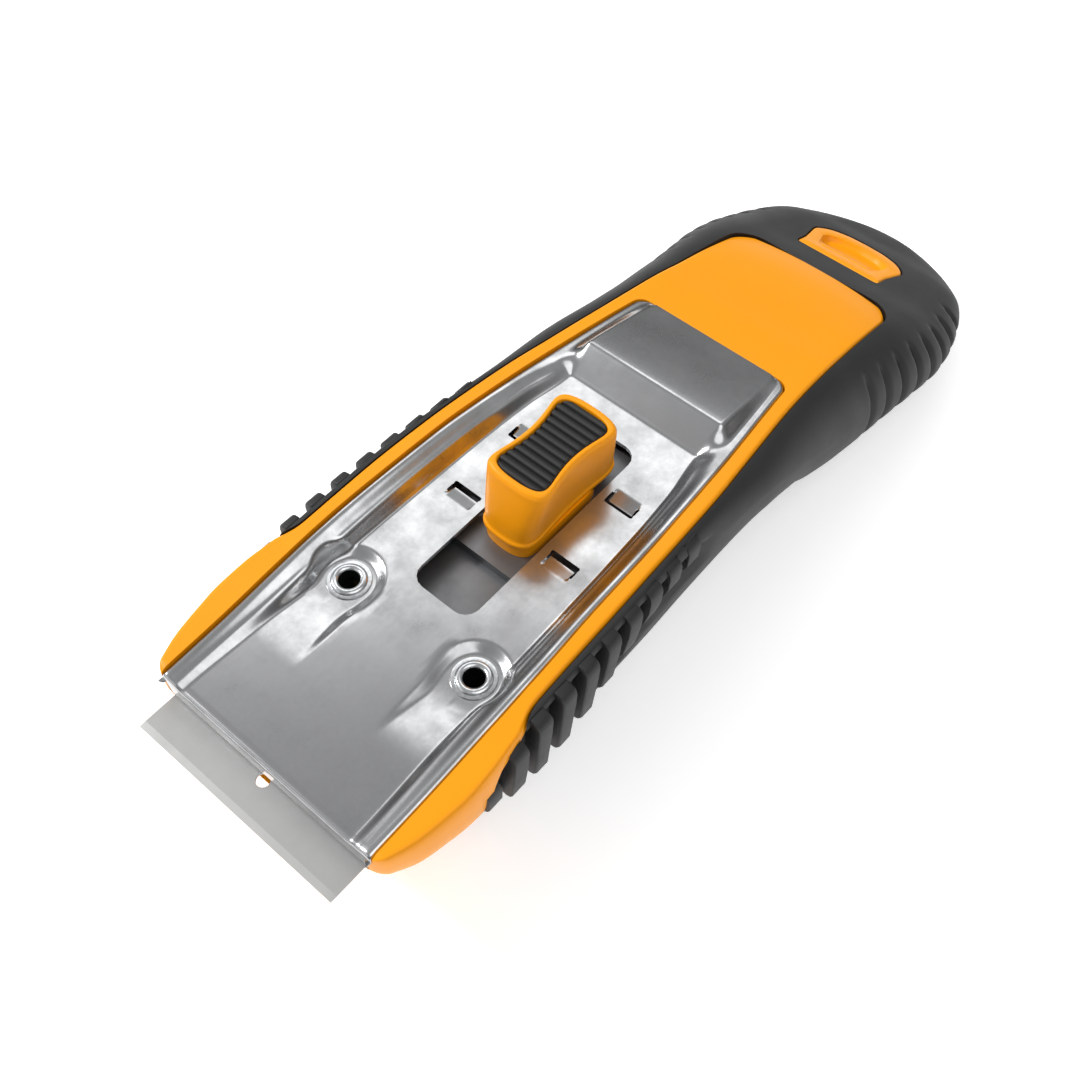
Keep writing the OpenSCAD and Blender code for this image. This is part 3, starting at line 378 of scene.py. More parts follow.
def bar(name, backs, half, low, high):
    """A closed bar whose half width, floor and top are given at each place behind the lip."""
    corners = [(1, high), (1, low), (-1, low), (-1, high)]
    loops = np.stack([places(backs, half * way, up) for way, up in corners], 1)
    return tube(name, loops)


corner_backs = PLATE_L + PLATE_FIT - PLATE_CORNER * (1 - np.sin(np.radians(np.arange(0, 85, 9))))
window_backs = np.unique(np.concatenate([[-1.0], np.arange(1, 101.8, 2.5), corner_backs]))
window_half = plate_edge(np.maximum(window_backs, 0), PLATE_FIT)
window_low = seat_up(np.maximum(window_backs, 0))
carve(handle_shell, bar("window_cutter", window_backs, window_half, window_low, OVER_ALL))
well_backs = np.linspace(-1, PLATE_L - 0.5, 40)
well_half = plate_half(np.maximum(well_backs, 0)) - 1.2
carve(handle_shell, bar("well_cutter", well_backs, well_half, WELL_UNDER, OVER_ALL))
channel_backs = np.array([-1.0, 31.5])
carve(handle_shell, bar("channel_cutter", channel_backs, CHANNEL_HALF, BASE_UNDER, SEAT_UP))


def inner_half(back, wall):
    """Half a slice of the handle's inside, one wall in from its surface."""
    q = np.linspace(0, 2, 30)
    side, up = wall_point(back, q)
    middle = (top_up(back) + under_up(back)) / 2
    side = np.concatenate([[0], side, [0]])
    up = np.concatenate([[up[0]], up, [up[-1]]])
    side = np.maximum(side - wall, 0)
    up = np.clip(up, under_up(back) + wall, max(top_up(back) - wall, middle + 0.5))
    return np.stack([np.full_like(side, back), side, up], -1)


NOSE_WALL = 2.2
nose_cutter = slices("nose_cutter", [inner_half(b, NOSE_WALL) for b in np.linspace(4.4, 31, 16)])
nose_ceiling = bar("nose_ceiling", np.array([0.0, 40.0]), 40, -40, BASE_UNDER - NOSE_WALL)
carve(nose_cutter, nose_ceiling, "INTERSECT")
carve(handle_shell, nose_cutter)
print("hollow frame:", len(handle_shell.data.polygons), "faces")

# %% [markdown]
# Four posts stand under the frame and take the screws from below. Each is a short turned piece, joined
# to the shell so that frame and posts are one moulding.

# %% Screw posts
POST_R, POST_BORE, POST_ROOF = 2.6, 1.1, 1.5
TIE_BACK, TIE_SIDE, TIE_LOW = 110.3, 8.42, -1.15
BOSS_BACK, BOSS_SIDE, BOSS_LOW = 122.1, 13.3, -21.1


def post(back, side, low):
    """A post up into the frame, bored from below: one cylinder cut by another that stands lower."""
    high = float(top_up(back)) - 1
    centre = Vector((LIP_X - back, side, BLADE_Z + (low + high) / 2)) * MM
    cylinders = []
    for vertices, radius, drop in ((32, POST_R, 0), (24, POST_BORE, POST_ROOF)):
        bpy.ops.mesh.primitive_cylinder_add(
            vertices=vertices, radius=radius * MM, depth=(high - low) * MM,
            location=centre - Vector((0, 0, drop * MM)))
        cylinders.append(bpy.context.object)
    outer = carve(*cylinders)
    only(outer)
    bpy.ops.object.transform_apply(location=True, rotation=True, scale=True)
    return outer


for way in (1, -1):
    carve(handle_shell, post(TIE_BACK, way * TIE_SIDE, TIE_LOW), "UNION")
    carve(handle_shell, post(BOSS_BACK, way * BOSS_SIDE, BOSS_LOW), "UNION")
handle_frame = smooth(handle_shell, 38)
handle_frame.name = handle_frame.data.name = "frame_moulding"
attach(handle_frame, "handle")
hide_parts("handle_frame")
print("frame moulding:", len(handle_frame.data.polygons), "faces")

# %% [markdown]
# ## The black grip
# The soft grip is one skin over the whole handle behind the nose. Its tail carries eight grooves on
# each side. They are part of the same grid: wherever a point lies near a groove it moves in a little,
# so the ribs between them stay gently rounded, as they do in a mould cut with a ball cutter. Between
# the fins the wall lies a little deeper than the ledge beside the rim.

# %% Grip skin
GROOVES = 8
GROOVE_FRONT = 119.0
GROOVE_PITCH = 4.95
GROOVE_DEEP = 1.15
GROOVE_R = 0.62
RIB_SWELL = 0.3
FIN_FRONT, FIN_PITCH, FINS = 18.9, 5.27, 10


def groove_depth(back, q):
    """How far the tail's wall is pressed in at a place: lines across the flank that lean back below."""
    line = back - GROOVE_FRONT - 1.4 * np.clip(q - 1.1, 0, 1) ** 2
    near = np.clip(np.round(line / GROOVE_PITCH), 0, GROOVES - 1)
    away = np.abs(line - near * GROOVE_PITCH)
    cut = GROOVE_DEEP * np.exp(-(away / GROOVE_R) ** 2)
    front, rear = line + 0.5 * GROOVE_PITCH, (GROOVES - 0.5) * GROOVE_PITCH - line
    reach = np.clip(front / 3, 0, 1) * np.clip(rear / 3, 0, 1)
    rib = RIB_SWELL * np.sin(math.pi * np.clip(away / (GROOVE_PITCH / 2), 0, 1) / 2) ** 0.7
    share = ramp((q - 0.28) / 0.35, 0.5) * ramp((1.9 - q) / 0.4, 0.5)
    return (cut + (RIB_SWELL - rib) * 0.6) * share * reach


SLOT_DEEP = 1.35
SLOTS_FROM, SLOTS_TO = 19.5, 72
FIN_TIPS = [-6.0, -9.5, -10.8, -10.5, -9.0, -7.0, -4.6, -2.6, -1.6, -1.0]
tip_up = through([(FIN_FRONT + k * FIN_PITCH, tip) for k, tip in enumerate(FIN_TIPS)])


def slot_depth(back, q, up):
    """How far the wall between the fins is pressed in, from the ledge down to the fins' tips."""
    along = ramp((back - SLOTS_FROM) / 3, 0.5) * ramp((SLOTS_TO - back) / 5, 0.5)
    return SLOT_DEEP * along * ramp((q - 0.55) / 0.25, 0.4) * ramp((up - tip_up(back) + 1) / 2.5, 0.4)


def grip_half_slice(back):
    """Half a slice of the grip's outside, its rounded edge beside the rim included."""
    q = np.concatenate([np.linspace(a, b, count)[1:] for a, b, count in
                        ((0, 0.12, 4), (0.12, 1.8, 52), (1.8, 2, 6))])
    side, up = wall_point(back, q)
    side = side - groove_depth(back, q) - slot_depth(back, q, up)
    start = wall_point(back, np.array([0.0]))
    top, width = start[1][0], start[0][0]
    flat = np.array([0, 0.2, 0.4, 0.6, 0.75, 0.88, 0.96, 1.0]) * width
    side = np.concatenate([flat, side, [under_half(back) * 0.6, 0]])
    up = np.concatenate([np.full(8, top), up, [up[-1], up[-1]]])
    return np.stack([np.full_like(side, back), side, up], -1)


grip_backs = np.unique(np.append(
    spread((15.4, 78, 1.0), (78, 113, 0.8), (113, 156, 0.35), (156, 165, 0.4), (165, 169.4, 0.25),
           (169.4, 171, 0.12)), BODY_L))
grip_skin = slices("grip_skin", [grip_half_slice(b) for b in grip_backs])
carve(grip_skin, seam_cutter)
SKIN_T = 2.0
carve(grip_skin, slices("grip_core_cutter", [inner_half(b, SKIN_T) for b in np.linspace(14, 166.7, 90)]))
print("grip skin:", len(grip_skin.data.polygons), "faces")

# %% [markdown]
# The tail has an opening for the lid. Its outline is a polygon whose corners are rounded by arcs, and
# the same outline, moved in or out along its normals, later gives the lid itself.

# %% Rounded outlines
def outline(corners, radii, count, steps=8):
    """count points, evenly spaced, round a polygon whose corners are rounded by the given radii."""
    corners = np.array(corners, float)
    path = []
    for k, (here, r) in enumerate(zip(corners, radii)):
        a, b = corners[k - 1] - here, corners[(k + 1) % len(corners)] - here
        a, b = a / np.linalg.norm(a), b / np.linalg.norm(b)
        half = math.acos(np.clip(a @ b, -1, 1)) / 2
        middle = here + (a + b) / np.linalg.norm(a + b) * r / math.sin(half)
        start, end = here + a * r / math.tan(half) - middle, here + b * r / math.tan(half) - middle
        for t in np.linspace(0, 1, steps):
            way = start * (1 - t) + end * t
            path.append(middle + way / np.linalg.norm(way) * r)
    path = np.array(path + path[:1])
    along = np.concatenate([[0], np.cumsum(np.linalg.norm(np.diff(path, axis=0), axis=1))])
    at = np.linspace(0, along[-1], count, endpoint=False)
    return np.stack([np.interp(at, along, path[:, 0]), np.interp(at, along, path[:, 1])], -1)


def moved_in(loop, distance):
    """The loop moved inwards along its normals, for a loop that turns to the left."""
    way = np.roll(loop, -1, 0) - np.roll(loop, 1, 0)
    way /= np.linalg.norm(way, axis=1)[:, None]
    return loop + distance * np.stack([-way[:, 1], way[:, 0]], -1)


def round_loop(back, side, radius, step):
    """A circle with a point at every step of so many degrees."""
    turn = np.radians(np.arange(0, 360, step))
    return np.stack([back + radius * np.cos(turn), side + radius * np.sin(turn)], -1)


def box_loop(front, back, side, half, radius, count=48):
    corners = [(front, side - half), (back, side - half), (back, side + half), (front, side + half)]
    return outline(corners, [radius] * 4, count)


def stacked(name, layers):
    """A solid through layers of (outline, height)."""
    return tube(name, np.stack([places(loop[:, 0], loop[:, 1], up) for loop, up in layers]))


LID_FRONT = 146.6
LID_L, LID_W, LID_REAR_W, LID_T = 14.1, 18.2, 20.4, 1.5
LID_BACK = LID_FRONT + 0.93 * LID_L
LID_TILT = math.atan2(float(top_up(LID_FRONT) - top_up(LID_BACK)), LID_BACK - LID_FRONT)
LID_SEAM = 0.25


def on_lid(loop, height):
    """Points given by their distance behind the lid's front edge, sideways and over its surface."""
    height = np.broadcast_to(height, loop[:, 0].shape)
    c, s = math.cos(LID_TILT), math.sin(LID_TILT)
    return places(LID_FRONT + loop[:, 0] * c + height * s, loop[:, 1],
                  float(top_up(LID_FRONT)) - loop[:, 0] * s + height * c)


lid_corners = [(0, -LID_W / 2), (3.6, -LID_W / 2), (9.6, -LID_REAR_W / 2), (12.4, -8.2), (13.8, -4.2),
               (LID_L, 0)]
lid_corners += [(back, -side) for back, side in lid_corners[-2::-1]]
lid_radii = [0.5, 6, 2.2, 6, 9, 12]
lid_outline = outline(lid_corners, lid_radii + lid_radii[-2::-1], 120)
lid_well = np.stack([on_lid(moved_in(lid_outline, -LID_SEAM), h) for h in (-6, 6)])
carve(grip_skin, tube("lid_well", lid_well))
print("lid opening", LID_W, "by", LID_L, "mm, tilted", round(math.degrees(LID_TILT), 1), "degrees")

# %% [markdown]
# Small holes let the two long screws in from below.

# %% Screw holes and the finished skin
SCREW_HOLE = 2.5
for way in (1, -1):
    hole = round_loop(BOSS_BACK, way * BOSS_SIDE, SCREW_HOLE, 12)
    carve(grip_skin, stacked("screw_hole", [(hole, -27), (hole, -22)]))
grip_skin = smooth(grip_skin, 42)
grip_skin.name = grip_skin.data.name = "grip_skin"
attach(grip_skin, "handle")
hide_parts("rubber_grip")
print("grip skin:", len(grip_skin.data.polygons), "faces")

# %% [markdown]
# ## The grip's fins
# On the real handle a comb of soft plates stands out of each side, with deep gaps between them. One
# fin is a flat outline, filled, extruded by its thickness and bevelled. Each of the twenty has its own
# length, which follows the slope of the handle's underside.

# %% Fins
FIN_T, FIN_BEVEL = 2.9, 0.35
fin_out = through([(18, 1.6), (22, 2.3), (26, 2.9), (32, 3.2), (38, 3.2), (44, 3.0), (50, 2.8),
                   (56, 2.6), (62, 2.4), (70, 2.2)])
LEDGE = 1.1
# The foremost fins also stay under the yellow of the nose
NOSE_FINS = 27


def flat_plate(name, corners, depth, bevel):
    """A plate: a filled ring of corners, extruded by depth along X and bevelled."""
    bpy.ops.object.select_all(action="DESELECT")
    bpy.ops.mesh.primitive_circle_add(vertices=len(corners), radius=1, fill_type="NGON")
    obj = bpy.context.object
    obj.name = obj.data.name = name
    obj.data.vertices.foreach_set("co", (corners * MM).ravel())
    moved = {"value": (depth * MM, 0, 0)}
    edit(obj, (bpy.ops.mesh.extrude_region_move, {"TRANSFORM_OT_translate": moved}))
    finish_modifier(obj, "BEVEL", width=bevel * MM, segments=3, limit_method="ANGLE",
                    angle_limit=math.radians(25))
    return obj


def fin_outline(back, tip):
    """A fin seen along the handle: ledge, rounded shoulder, outer edge, slanted tip, back inside."""
    rim, top = float(rim_half(back)), float(top_up(back)) - 0.4
    out = float(rim_half(back) + fin_out(back))
    if back < NOSE_FINS:
        top = min(top, float(nose_edge_up(back + 0.8)) - 0.8)
    shoulder = [(rim + LEDGE, top)]
    for turn in np.radians(np.linspace(0, 90, 6)):
        shoulder.append((out - 1.5 + 1.5 * math.sin(turn), top - 0.2 - 1.9 * (1 - math.cos(turn))))
    edge = [(out - 0.1, top - 5), (out - 0.5, (top + tip) / 2 - 2), (out - 0.9, tip + 1.4),
            (out - 1.4, tip + 0.4), (out - 2.2, tip)]
    inner = [(rim - 1.6, tip + 0.6), (rim - 1.6, 0.5 * (top + tip)), (rim + 0.45, top - 3.3)]
    side, up = np.array(shoulder + edge + inner).T
    return side, up


for k in range(FINS):
    back = FIN_FRONT + k * FIN_PITCH
    side, up = fin_outline(back, FIN_TIPS[k])
    for way, word in ((1, "left"), (-1, "right")):
        corners = places(back + FIN_T / 2, way * side, up)
        fin = flat_plate(f"fin_{word}_{k + 1}", corners, FIN_T, FIN_BEVEL)
        smooth(fin, 30)
        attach(fin, "handle")
print("fins:", 2 * FINS)

# %% [markdown]
# ## The cover plate
# The plate is pressed from one sheet: a flat pan between sloping walls, a rolled rim, a raised shelf at
# the rear, two dished seats for the eyelets whose rear half is round and whose front runs out into the
# pan, and four tongues bent down beside the slot. Its top face is one height for each place, so a grid
# with more rows where the metal bends gives all of it, and Solidify gives the sheet its thickness.

# %% The plate's height
PAN_UP, SHELF_RISE = 4.0, 3.5
WALL_RUN = 1.9
EYELET_BACK, EYELET_SIDE = 29.2, 12.7
DISH_R, DISH_DEEP, DISH_SLOPE = 6.0, 0.9, 2.1
RUNOUT_FROM, RUNOUT_L = 13, 13
TONGUE_SIDE, TONGUE_HALF, TONGUE_L, TONGUE_DROP = 10.0, 2.3, 2.6, 0.55
TONGUES = [(52.2, 1), (66.0, -1)]
pan_half = through([(0, 16.3), (0.83, 16.3), (20.8, 15.65), (41.5, 15.32), (60.2, 14.75), (72.7, 13.86),
                    (81.3, 12.63), (87.5, 13.28), (93.4, 13.04), (100.7, 12.55), (103.8, 12.06)])
SHELF_FOOT, SHELF_CREST = 81.3, 87.2
shelf_fall = through([(87.2, 3.5), (88.2, 3.35), (93.4, 2.3), (100.7, 0.6), (103.8, -0.1)])
LIP_R = 0.75


def pan_height(back, side):
    """Height of the pan's bottom, with the shelf, the dishes' runouts and the tongues."""
    climb = SHELF_RISE * ramp((back - SHELF_FOOT) / (SHELF_CREST - SHELF_FOOT), 0.14)
    up = PAN_UP + np.where(back < SHELF_CREST, climb, shelf_fall(back))
    inner = EYELET_SIDE - side
    ahead = back < EYELET_BACK
    fade = ramp((back - RUNOUT_FROM) / RUNOUT_L, 0.35)
    slope = DISH_SLOPE * (0.6 + 0.4 * fade)
    narrow = 0.8 * ramp((EYELET_BACK - back) / 7, 0.5)
    runout = ramp((DISH_R - narrow - np.abs(inner)) / slope, 0.3) * fade
    runout = runout * np.where(inner < 0, ramp((EYELET_BACK - back) / 3, 0.5), 1)
    up = up - DISH_DEEP * np.where(ahead, runout, 0)
    for at, way in TONGUES:
        along = (back - at) * way
        bent = (np.abs(side - TONGUE_SIDE) <= TONGUE_HALF + 0.1) & (along <= 0.45) & (along >= -TONGUE_L)
        up = up - np.where(bent, TONGUE_DROP * ramp((along + TONGUE_L) / TONGUE_L, 0.12), 0)
    return up


def plate_height(back, side):
    """Height of the plate's top face at a place, side counted from the middle line."""
    side = np.abs(side)
    half, pan = plate_edge(back), pan_half(back)
    rim = rim_up(back)
    shelf = ramp((back - 76) / 8, 0.5)
    ledge = half - HEM - pan
    steep = 0.66 * ramp((side - pan - 0.3) / WALL_RUN, 0.3)
    steep = steep + 0.34 * ramp((side - pan - WALL_RUN) / (ledge - WALL_RUN), 0.4)
    plain = ramp((side - pan) / (0.8 * ledge), 0.3)
    low = pan_height(back, side)
    wall = steep * (1 - shelf) + plain * shelf
    up = low + (rim - low) * wall
    away = np.hypot(back - EYELET_BACK, side - EYELET_SIDE)
    seat = ramp((DISH_R - away) / DISH_SLOPE, 0.3) * ((back >= EYELET_BACK) | (side > EYELET_SIDE))
    up = np.where(seat > 0, up + (np.minimum(PAN_UP - DISH_DEEP, up) - up) * seat, up)
    roll = np.clip((side - (half - HEM)) / HEM, 0, 1)
    return up - HEM * (1 - np.sqrt(np.maximum(1 - roll ** 2, 0)))


# %% The plate's grid
plate_backs = spread((0.76, 12, 0.9), (12, 23, 0.45), (23, 35.5, 0.28), (35.5, 48.6, 0.8),
                     (48.6, 53.2, 0.25), (53.2, 65.2, 0.8), (65.2, 70, 0.25), (70, 80.6, 0.8),
                     (80.6, 88.6, 0.24), (88.6, 101.8, 0.6), (101.8, 103.8, 0.2))
plate_backs = np.append(plate_backs, PLATE_L)
hem_turn = PLATE_HALF - HEM * (1 - np.sin(np.radians(np.arange(0, 91, 15))))
half_spots = np.unique(np.concatenate([
    np.linspace(0, 7.4, 9), np.linspace(7.4, 13.2, 24), np.linspace(13.2, 19.4, 30),
    np.linspace(19.4, PLATE_HALF - HEM, 5), hem_turn]).round(5))
plate_spots = np.concatenate([-half_spots[:0:-1], half_spots]) / PLATE_HALF
across = plate_edge(plate_backs)[:, None] * plate_spots[None, :]
length = np.broadcast_to(plate_backs[:, None], across.shape)
top_face = places(length, across, plate_height(length, across))
# The lip: the sheet turns down at the front and ends just over the blade
LIP_GAP = 0.7
lip_rows = []
for turn in np.radians([0, 30, 60, 90]):
    row = top_face[0].copy()
    row[:, 0] = LIP_X - LIP_R * (1 - math.sin(turn))
    row[:, 2] -= LIP_R * (1 - math.cos(turn))
    lip_rows.append(row)
end = lip_rows[-1].copy()
inside = np.clip((CHANNEL_HALF - 0.1 - np.abs(end[:, 1])) / 0.35, 0, 1)
end[:, 2] = BLADE_Z + (SEAT_UP + 0.1 + (LIP_GAP - SEAT_UP - 0.1) * inside)
mid = (lip_rows[-1] + end) / 2
cover = edit(skin("cover_sheet", np.concatenate([np.stack([end, mid] + lip_rows[::-1][:-1]), top_face])))
if sum(face.normal.z * face.area for face in cover.data.polygons) < 0:
    cover.data.flip_normals()
finish_modifier(cover, "SOLIDIFY", thickness=SHEET_T * 0.92 * MM, offset=-1, use_rim=True)
print("cover sheet:", len(cover.data.polygons), "faces, open edges", len(open_edges(cover)))

# %% [markdown]
# The slot, the tongues' slits and the eyelets' holes are punched. The punches are outlines of the same
# kind as the lid's, drawn out into short bars.

# %% Punching the slot and slits
SLOT_FRONT, SLOT_L, SLOT_W, SLOT_R = 35.2, 40.6, 11.8, 2.6
SLIT, LEG = 0.85, 0.45
LEG_L = 1.5
EYELET_HOLE = 2.25


def punch(name, loop):
    carve(cover, stacked(name, [(loop, 0.4), (loop, 9)]))


punch("slot_punch", box_loop(SLOT_FRONT, SLOT_FRONT + SLOT_L, 0, SLOT_W / 2, SLOT_R, 96))
for way in (1, -1):
    for at, turned in TONGUES:
        gap = sorted((at + 0.02 * turned, at + SLIT * turned))
        punch("slit", box_loop(*gap, way * TONGUE_SIDE, TONGUE_HALF + LEG, 0.15, 32))
        for leg in ((-1, 1) if turned < 0 else (1,)):
            reach = sorted((at + 0.1 * turned, at - LEG_L * turned))
            leg_side = way * (TONGUE_SIDE + leg * (TONGUE_HALF + LEG / 2))
            punch("leg", box_loop(*reach, leg_side, LEG / 2, 0.12, 32))
    punch("eyelet_hole", round_loop(EYELET_BACK, way * EYELET_SIDE, EYELET_HOLE, 7.5))
smooth(cover, 32)
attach(cover, "handle")
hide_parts("cover_plate")
print("cover plate:", len(cover.data.polygons), "faces")

# %% [markdown]
# ## Eyelets
# A hollow rivet is turned: its section is drawn once and spun round its axis. The head is rolled over,
# which gives the bright ring, and a thin washer ring lies round it in the dish.

# %% Eyelets by spinning a section
def spun(name, section, back, side, steps=56):
    """A turned piece: a section of (radius, height) points spun round a standing axis."""
    section = np.array(section, float)
    bpy.ops.object.select_all(action="DESELECT")
    bpy.ops.mesh.primitive_circle_add(vertices=len(section), radius=1)
    obj = bpy.context.object
    obj.name = obj.data.name = name
    spots = places(back - section[:, 0], side, section[:, 1])
    obj.data.vertices.foreach_set("co", (spots * MM).ravel())
    centre = Vector(places(back, side, 0.0).tolist()) * MM
    edit(obj, (bpy.ops.mesh.spin, {"steps": steps, "angle": 2 * math.pi, "center": centre,
                                   "axis": (0, 0, 1), "use_auto_merge": False}), MERGE_POINTS)
    return smooth(obj, 30)


EYELET_SECTION = [(1.62, -2.7), (2.9, -2.7), (2.9, -2.25), (2.15, -2.25), (2.15, 3.0)] + [
    (2.25 + 0.63 * math.cos(math.pi - a), 3.28 + 0.5 * math.sin(a))
    for a in np.radians(np.arange(0, 181, 20))]
WASHER_SECTION = [(2.2, 3.0), (3.35, 3.0), (3.5, 3.12), (3.42, 3.3), (3.1, 3.34), (2.2, 3.3)]
for way, word in ((1, "left"), (-1, "right")):
    eyelet = spun(f"eyelet_{word}", EYELET_SECTION, EYELET_BACK, way * EYELET_SIDE)
    ring = spun(f"washer_{word}", WASHER_SECTION, EYELET_BACK, way * EYELET_SIDE)
    for piece in (eyelet, ring):
        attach(piece, "handle")
    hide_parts("eyelet_rivets")
print("eyelets at", EYELET_BACK, "behind the lip")

# %% [markdown]
# ## The thumb button
# The button is moulded hollow and drawn in at its waist. Its outline is the same family at every
# height: two full ends and a narrower middle. Stacked outlines give the sloping front, the rounded rim
# and the pocket that the soft pad sits in.

# %% Button outlines
BUTTON_FRONT, BUTTON_L, BUTTON_TOP_L = 49.0, 23.5, 19.6
BUTTON_END, BUTTON_WAIST = 7.1, 4.9
BUTTON_BASE, BUTTON_TOP = 4.35, 16.0
TOP_FRONT = BUTTON_FRONT + 2.5
TOP_BACK = TOP_FRONT + BUTTON_TOP_L
PAD_RIM = 1.15
shift_up = through([(0, 0), (0.3, 0.2), (0.65, 0.62), (0.92, 0.95), (1, 1)])
width_up = through([(0, 0.78), (0.3, 0.84), (0.65, 0.94), (0.92, 1), (1, 0.99)])
waist_up = through([(0, 0.5), (0.3, 0.7), (0.65, 0.9), (0.92, 1), (1, 1)])


def waisted(front, back, end, waist, count=44):
    """A closed outline with full ends and a narrow waist."""
    turn = np.radians(np.linspace(-90, 90, count + 1))
    t = np.sin(turn)
    half = (waist + (end - waist) * t ** 2) * np.maximum(1 - np.abs(t) ** 7, 0) ** 0.4
    at = (front + back) / 2 + t * (back - front) / 2
    return np.concatenate([np.stack([at, -half], -1), np.stack([at, half], -1)[::-1][1:-1]])


def button_loop(share, inset=0.0):
    move = float(shift_up(share))
    front = BUTTON_FRONT + move * (TOP_FRONT - BUTTON_FRONT) + inset
    back = BUTTON_FRONT + BUTTON_L + move * (TOP_BACK - BUTTON_FRONT - BUTTON_L) - inset
    end = BUTTON_END * float(width_up(share)) - inset
    waist = end - (BUTTON_END - BUTTON_WAIST) * float(waist_up(share)) + inset * 0.15
    return waisted(front, back, end, waist)


STEM_BACK = 68.0
RIM_R = 0.65
POCKET_R = 0.3
height = BUTTON_TOP - BUTTON_BASE
stem = waisted(BUTTON_FRONT + 0.25, STEM_BACK, 4.95, 4.95)
layers = [(stem, 1.65), (stem, BUTTON_BASE)]
layers += [(button_loop(0, inset), BUTTON_BASE + up) for inset, up in
           [(0.12, 0), (-0.12, 0.06), (-0.22, 0.2), (-0.22, 0.75), (-0.12, 0.95), (0, 1.05)]]
rim_start = 1 - RIM_R / height
layers += [(button_loop(s), BUTTON_BASE + s * height) for s in np.linspace(0.12, rim_start, 24)]
layers += [(button_loop(1, RIM_R * (1 - math.cos(a))), BUTTON_TOP - RIM_R * (1 - math.sin(a)))
           for a in np.radians([15, 30, 45, 60, 75, 90])]
layers += [(button_loop(1, PAD_RIM - POCKET_R * (1 - math.sin(a))),
            BUTTON_TOP - POCKET_R * (1 - math.cos(a))) for a in np.radians([0, 30, 60, 90])]
layers += [(button_loop(1, PAD_RIM), BUTTON_TOP - 1.76)]
button = smooth(stacked("slide_button", layers), 50)
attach(button, "blade_slide")
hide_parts("thumb_button")
print("button:", len(button.data.polygons), "faces")

# %% [markdown]
# The pad is a soft insert with twelve rounded ribs across the thumb's way. Each slice across it knows
# its height from its distance to the nearest rib, and falls away at the pad's edge.

# %% Ribbed pad
RIBS = 12
PAD_FIT = 0.06
RIB_HIGH = 0.62
PAD_UP, PAD_LOW = BUTTON_TOP - 0.72, BUTTON_TOP - 1.7
pad_front, pad_back = TOP_FRONT + PAD_RIM + PAD_FIT, TOP_BACK - PAD_RIM - PAD_FIT
pad_mid, pad_reach = (pad_front + pad_back) / 2, (pad_back - pad_front) / 2
pad_end = BUTTON_END * 0.99 - PAD_RIM - PAD_FIT
pad_waist = pad_end - (BUTTON_END - BUTTON_WAIST) + PAD_RIM * 0.15
rib_pitch = 2 * pad_reach / RIBS


def pad_half_slice(back):
    t = (back - pad_mid) / pad_reach
    half = (pad_waist + (pad_end - pad_waist) * t * t) * max(1 - abs(t) ** 7, 0.0) ** 0.4
    from_rib = ((back - pad_front) / rib_pitch) % 1 - 0.5
    rib = RIB_HIGH * math.sqrt(max(1 - (abs(from_rib) / 0.4) ** 2, 0.0)) ** 0.8
    side = np.concatenate([np.linspace(0, 0.8, 6), [0.88, 0.93, 0.97, 0.99, 1.0]]) * half
    round_off = edge_drop(half - side, min(0.45, half + 0.01)) / 0.45
    up = PAD_UP + rib * (1 - round_off)
    side, up = np.append(side, [half, 0]), np.append(up, [PAD_LOW, PAD_LOW])
    return np.stack([np.full_like(side, back), side, up], -1)


pad_backs = pad_mid + pad_reach * np.linspace(-0.9985, 0.9985, RIBS * 12 + 1)
pad = smooth(slices("pad_insert", [pad_half_slice(b) for b in pad_backs]), 40)
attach(pad, "blade_slide")
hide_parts("button_pad")
print("pad:", RIBS, "ribs,", round(rib_pitch, 2), "mm apart")

# %% [markdown]
# ## The lid
# The lid has a straight hinge edge, a curved rear edge and a thumb recess whose rear wall is steep. The
# rings go from the underside, round the edge, over the rim, and down into the recess.

# %% Lid
recess_corners = [(3.4, -6.0), (8.6, -7.4), (10.6, -4.6), (11.2, 0), (10.6, 4.6), (8.6, 7.4), (3.4, 6.0)]
recess = outline(recess_corners, [1.6, 1.6, 5, 8, 5, 1.6, 1.6], 120)
recess = np.roll(recess, -np.argmin(np.hypot(*(recess - [7.0, -7.0]).T)), 0)
lid_ring = np.roll(lid_outline, -np.argmin(np.hypot(*(lid_outline - [7.0, -10.0]).T)), 0)
RECESS_DEEP = 1.05


def recess_depth(loop):
    """Depth of the recess: none at its front, full towards its rear wall."""
    return RECESS_DEEP * ramp((loop[:, 0] - 2.8) / 5.5, 0.4)


def shrunk(loop, share):
    """The loop drawn in towards the recess's middle."""
    middle = np.array([7.4, 0.0])
    return middle + (loop - middle) * share


# The hinge's axis lies this far behind the lid's front edge and under its surface
HINGE = 1.5
LID_EDGE_R = 0.45
KNUCKLE_R, PIN_R = 1.45, 0.65


def hinged(loop, height):
    """The loop with its front edge rounded about the hinge, so that the lid clears its seat."""
    reach = HINGE - np.sqrt(np.maximum(HINGE ** 2 - np.maximum(height + HINGE, 0) ** 2, 0))
    return np.stack([np.maximum(loop[:, 0], reach), loop[:, 1]], -1)


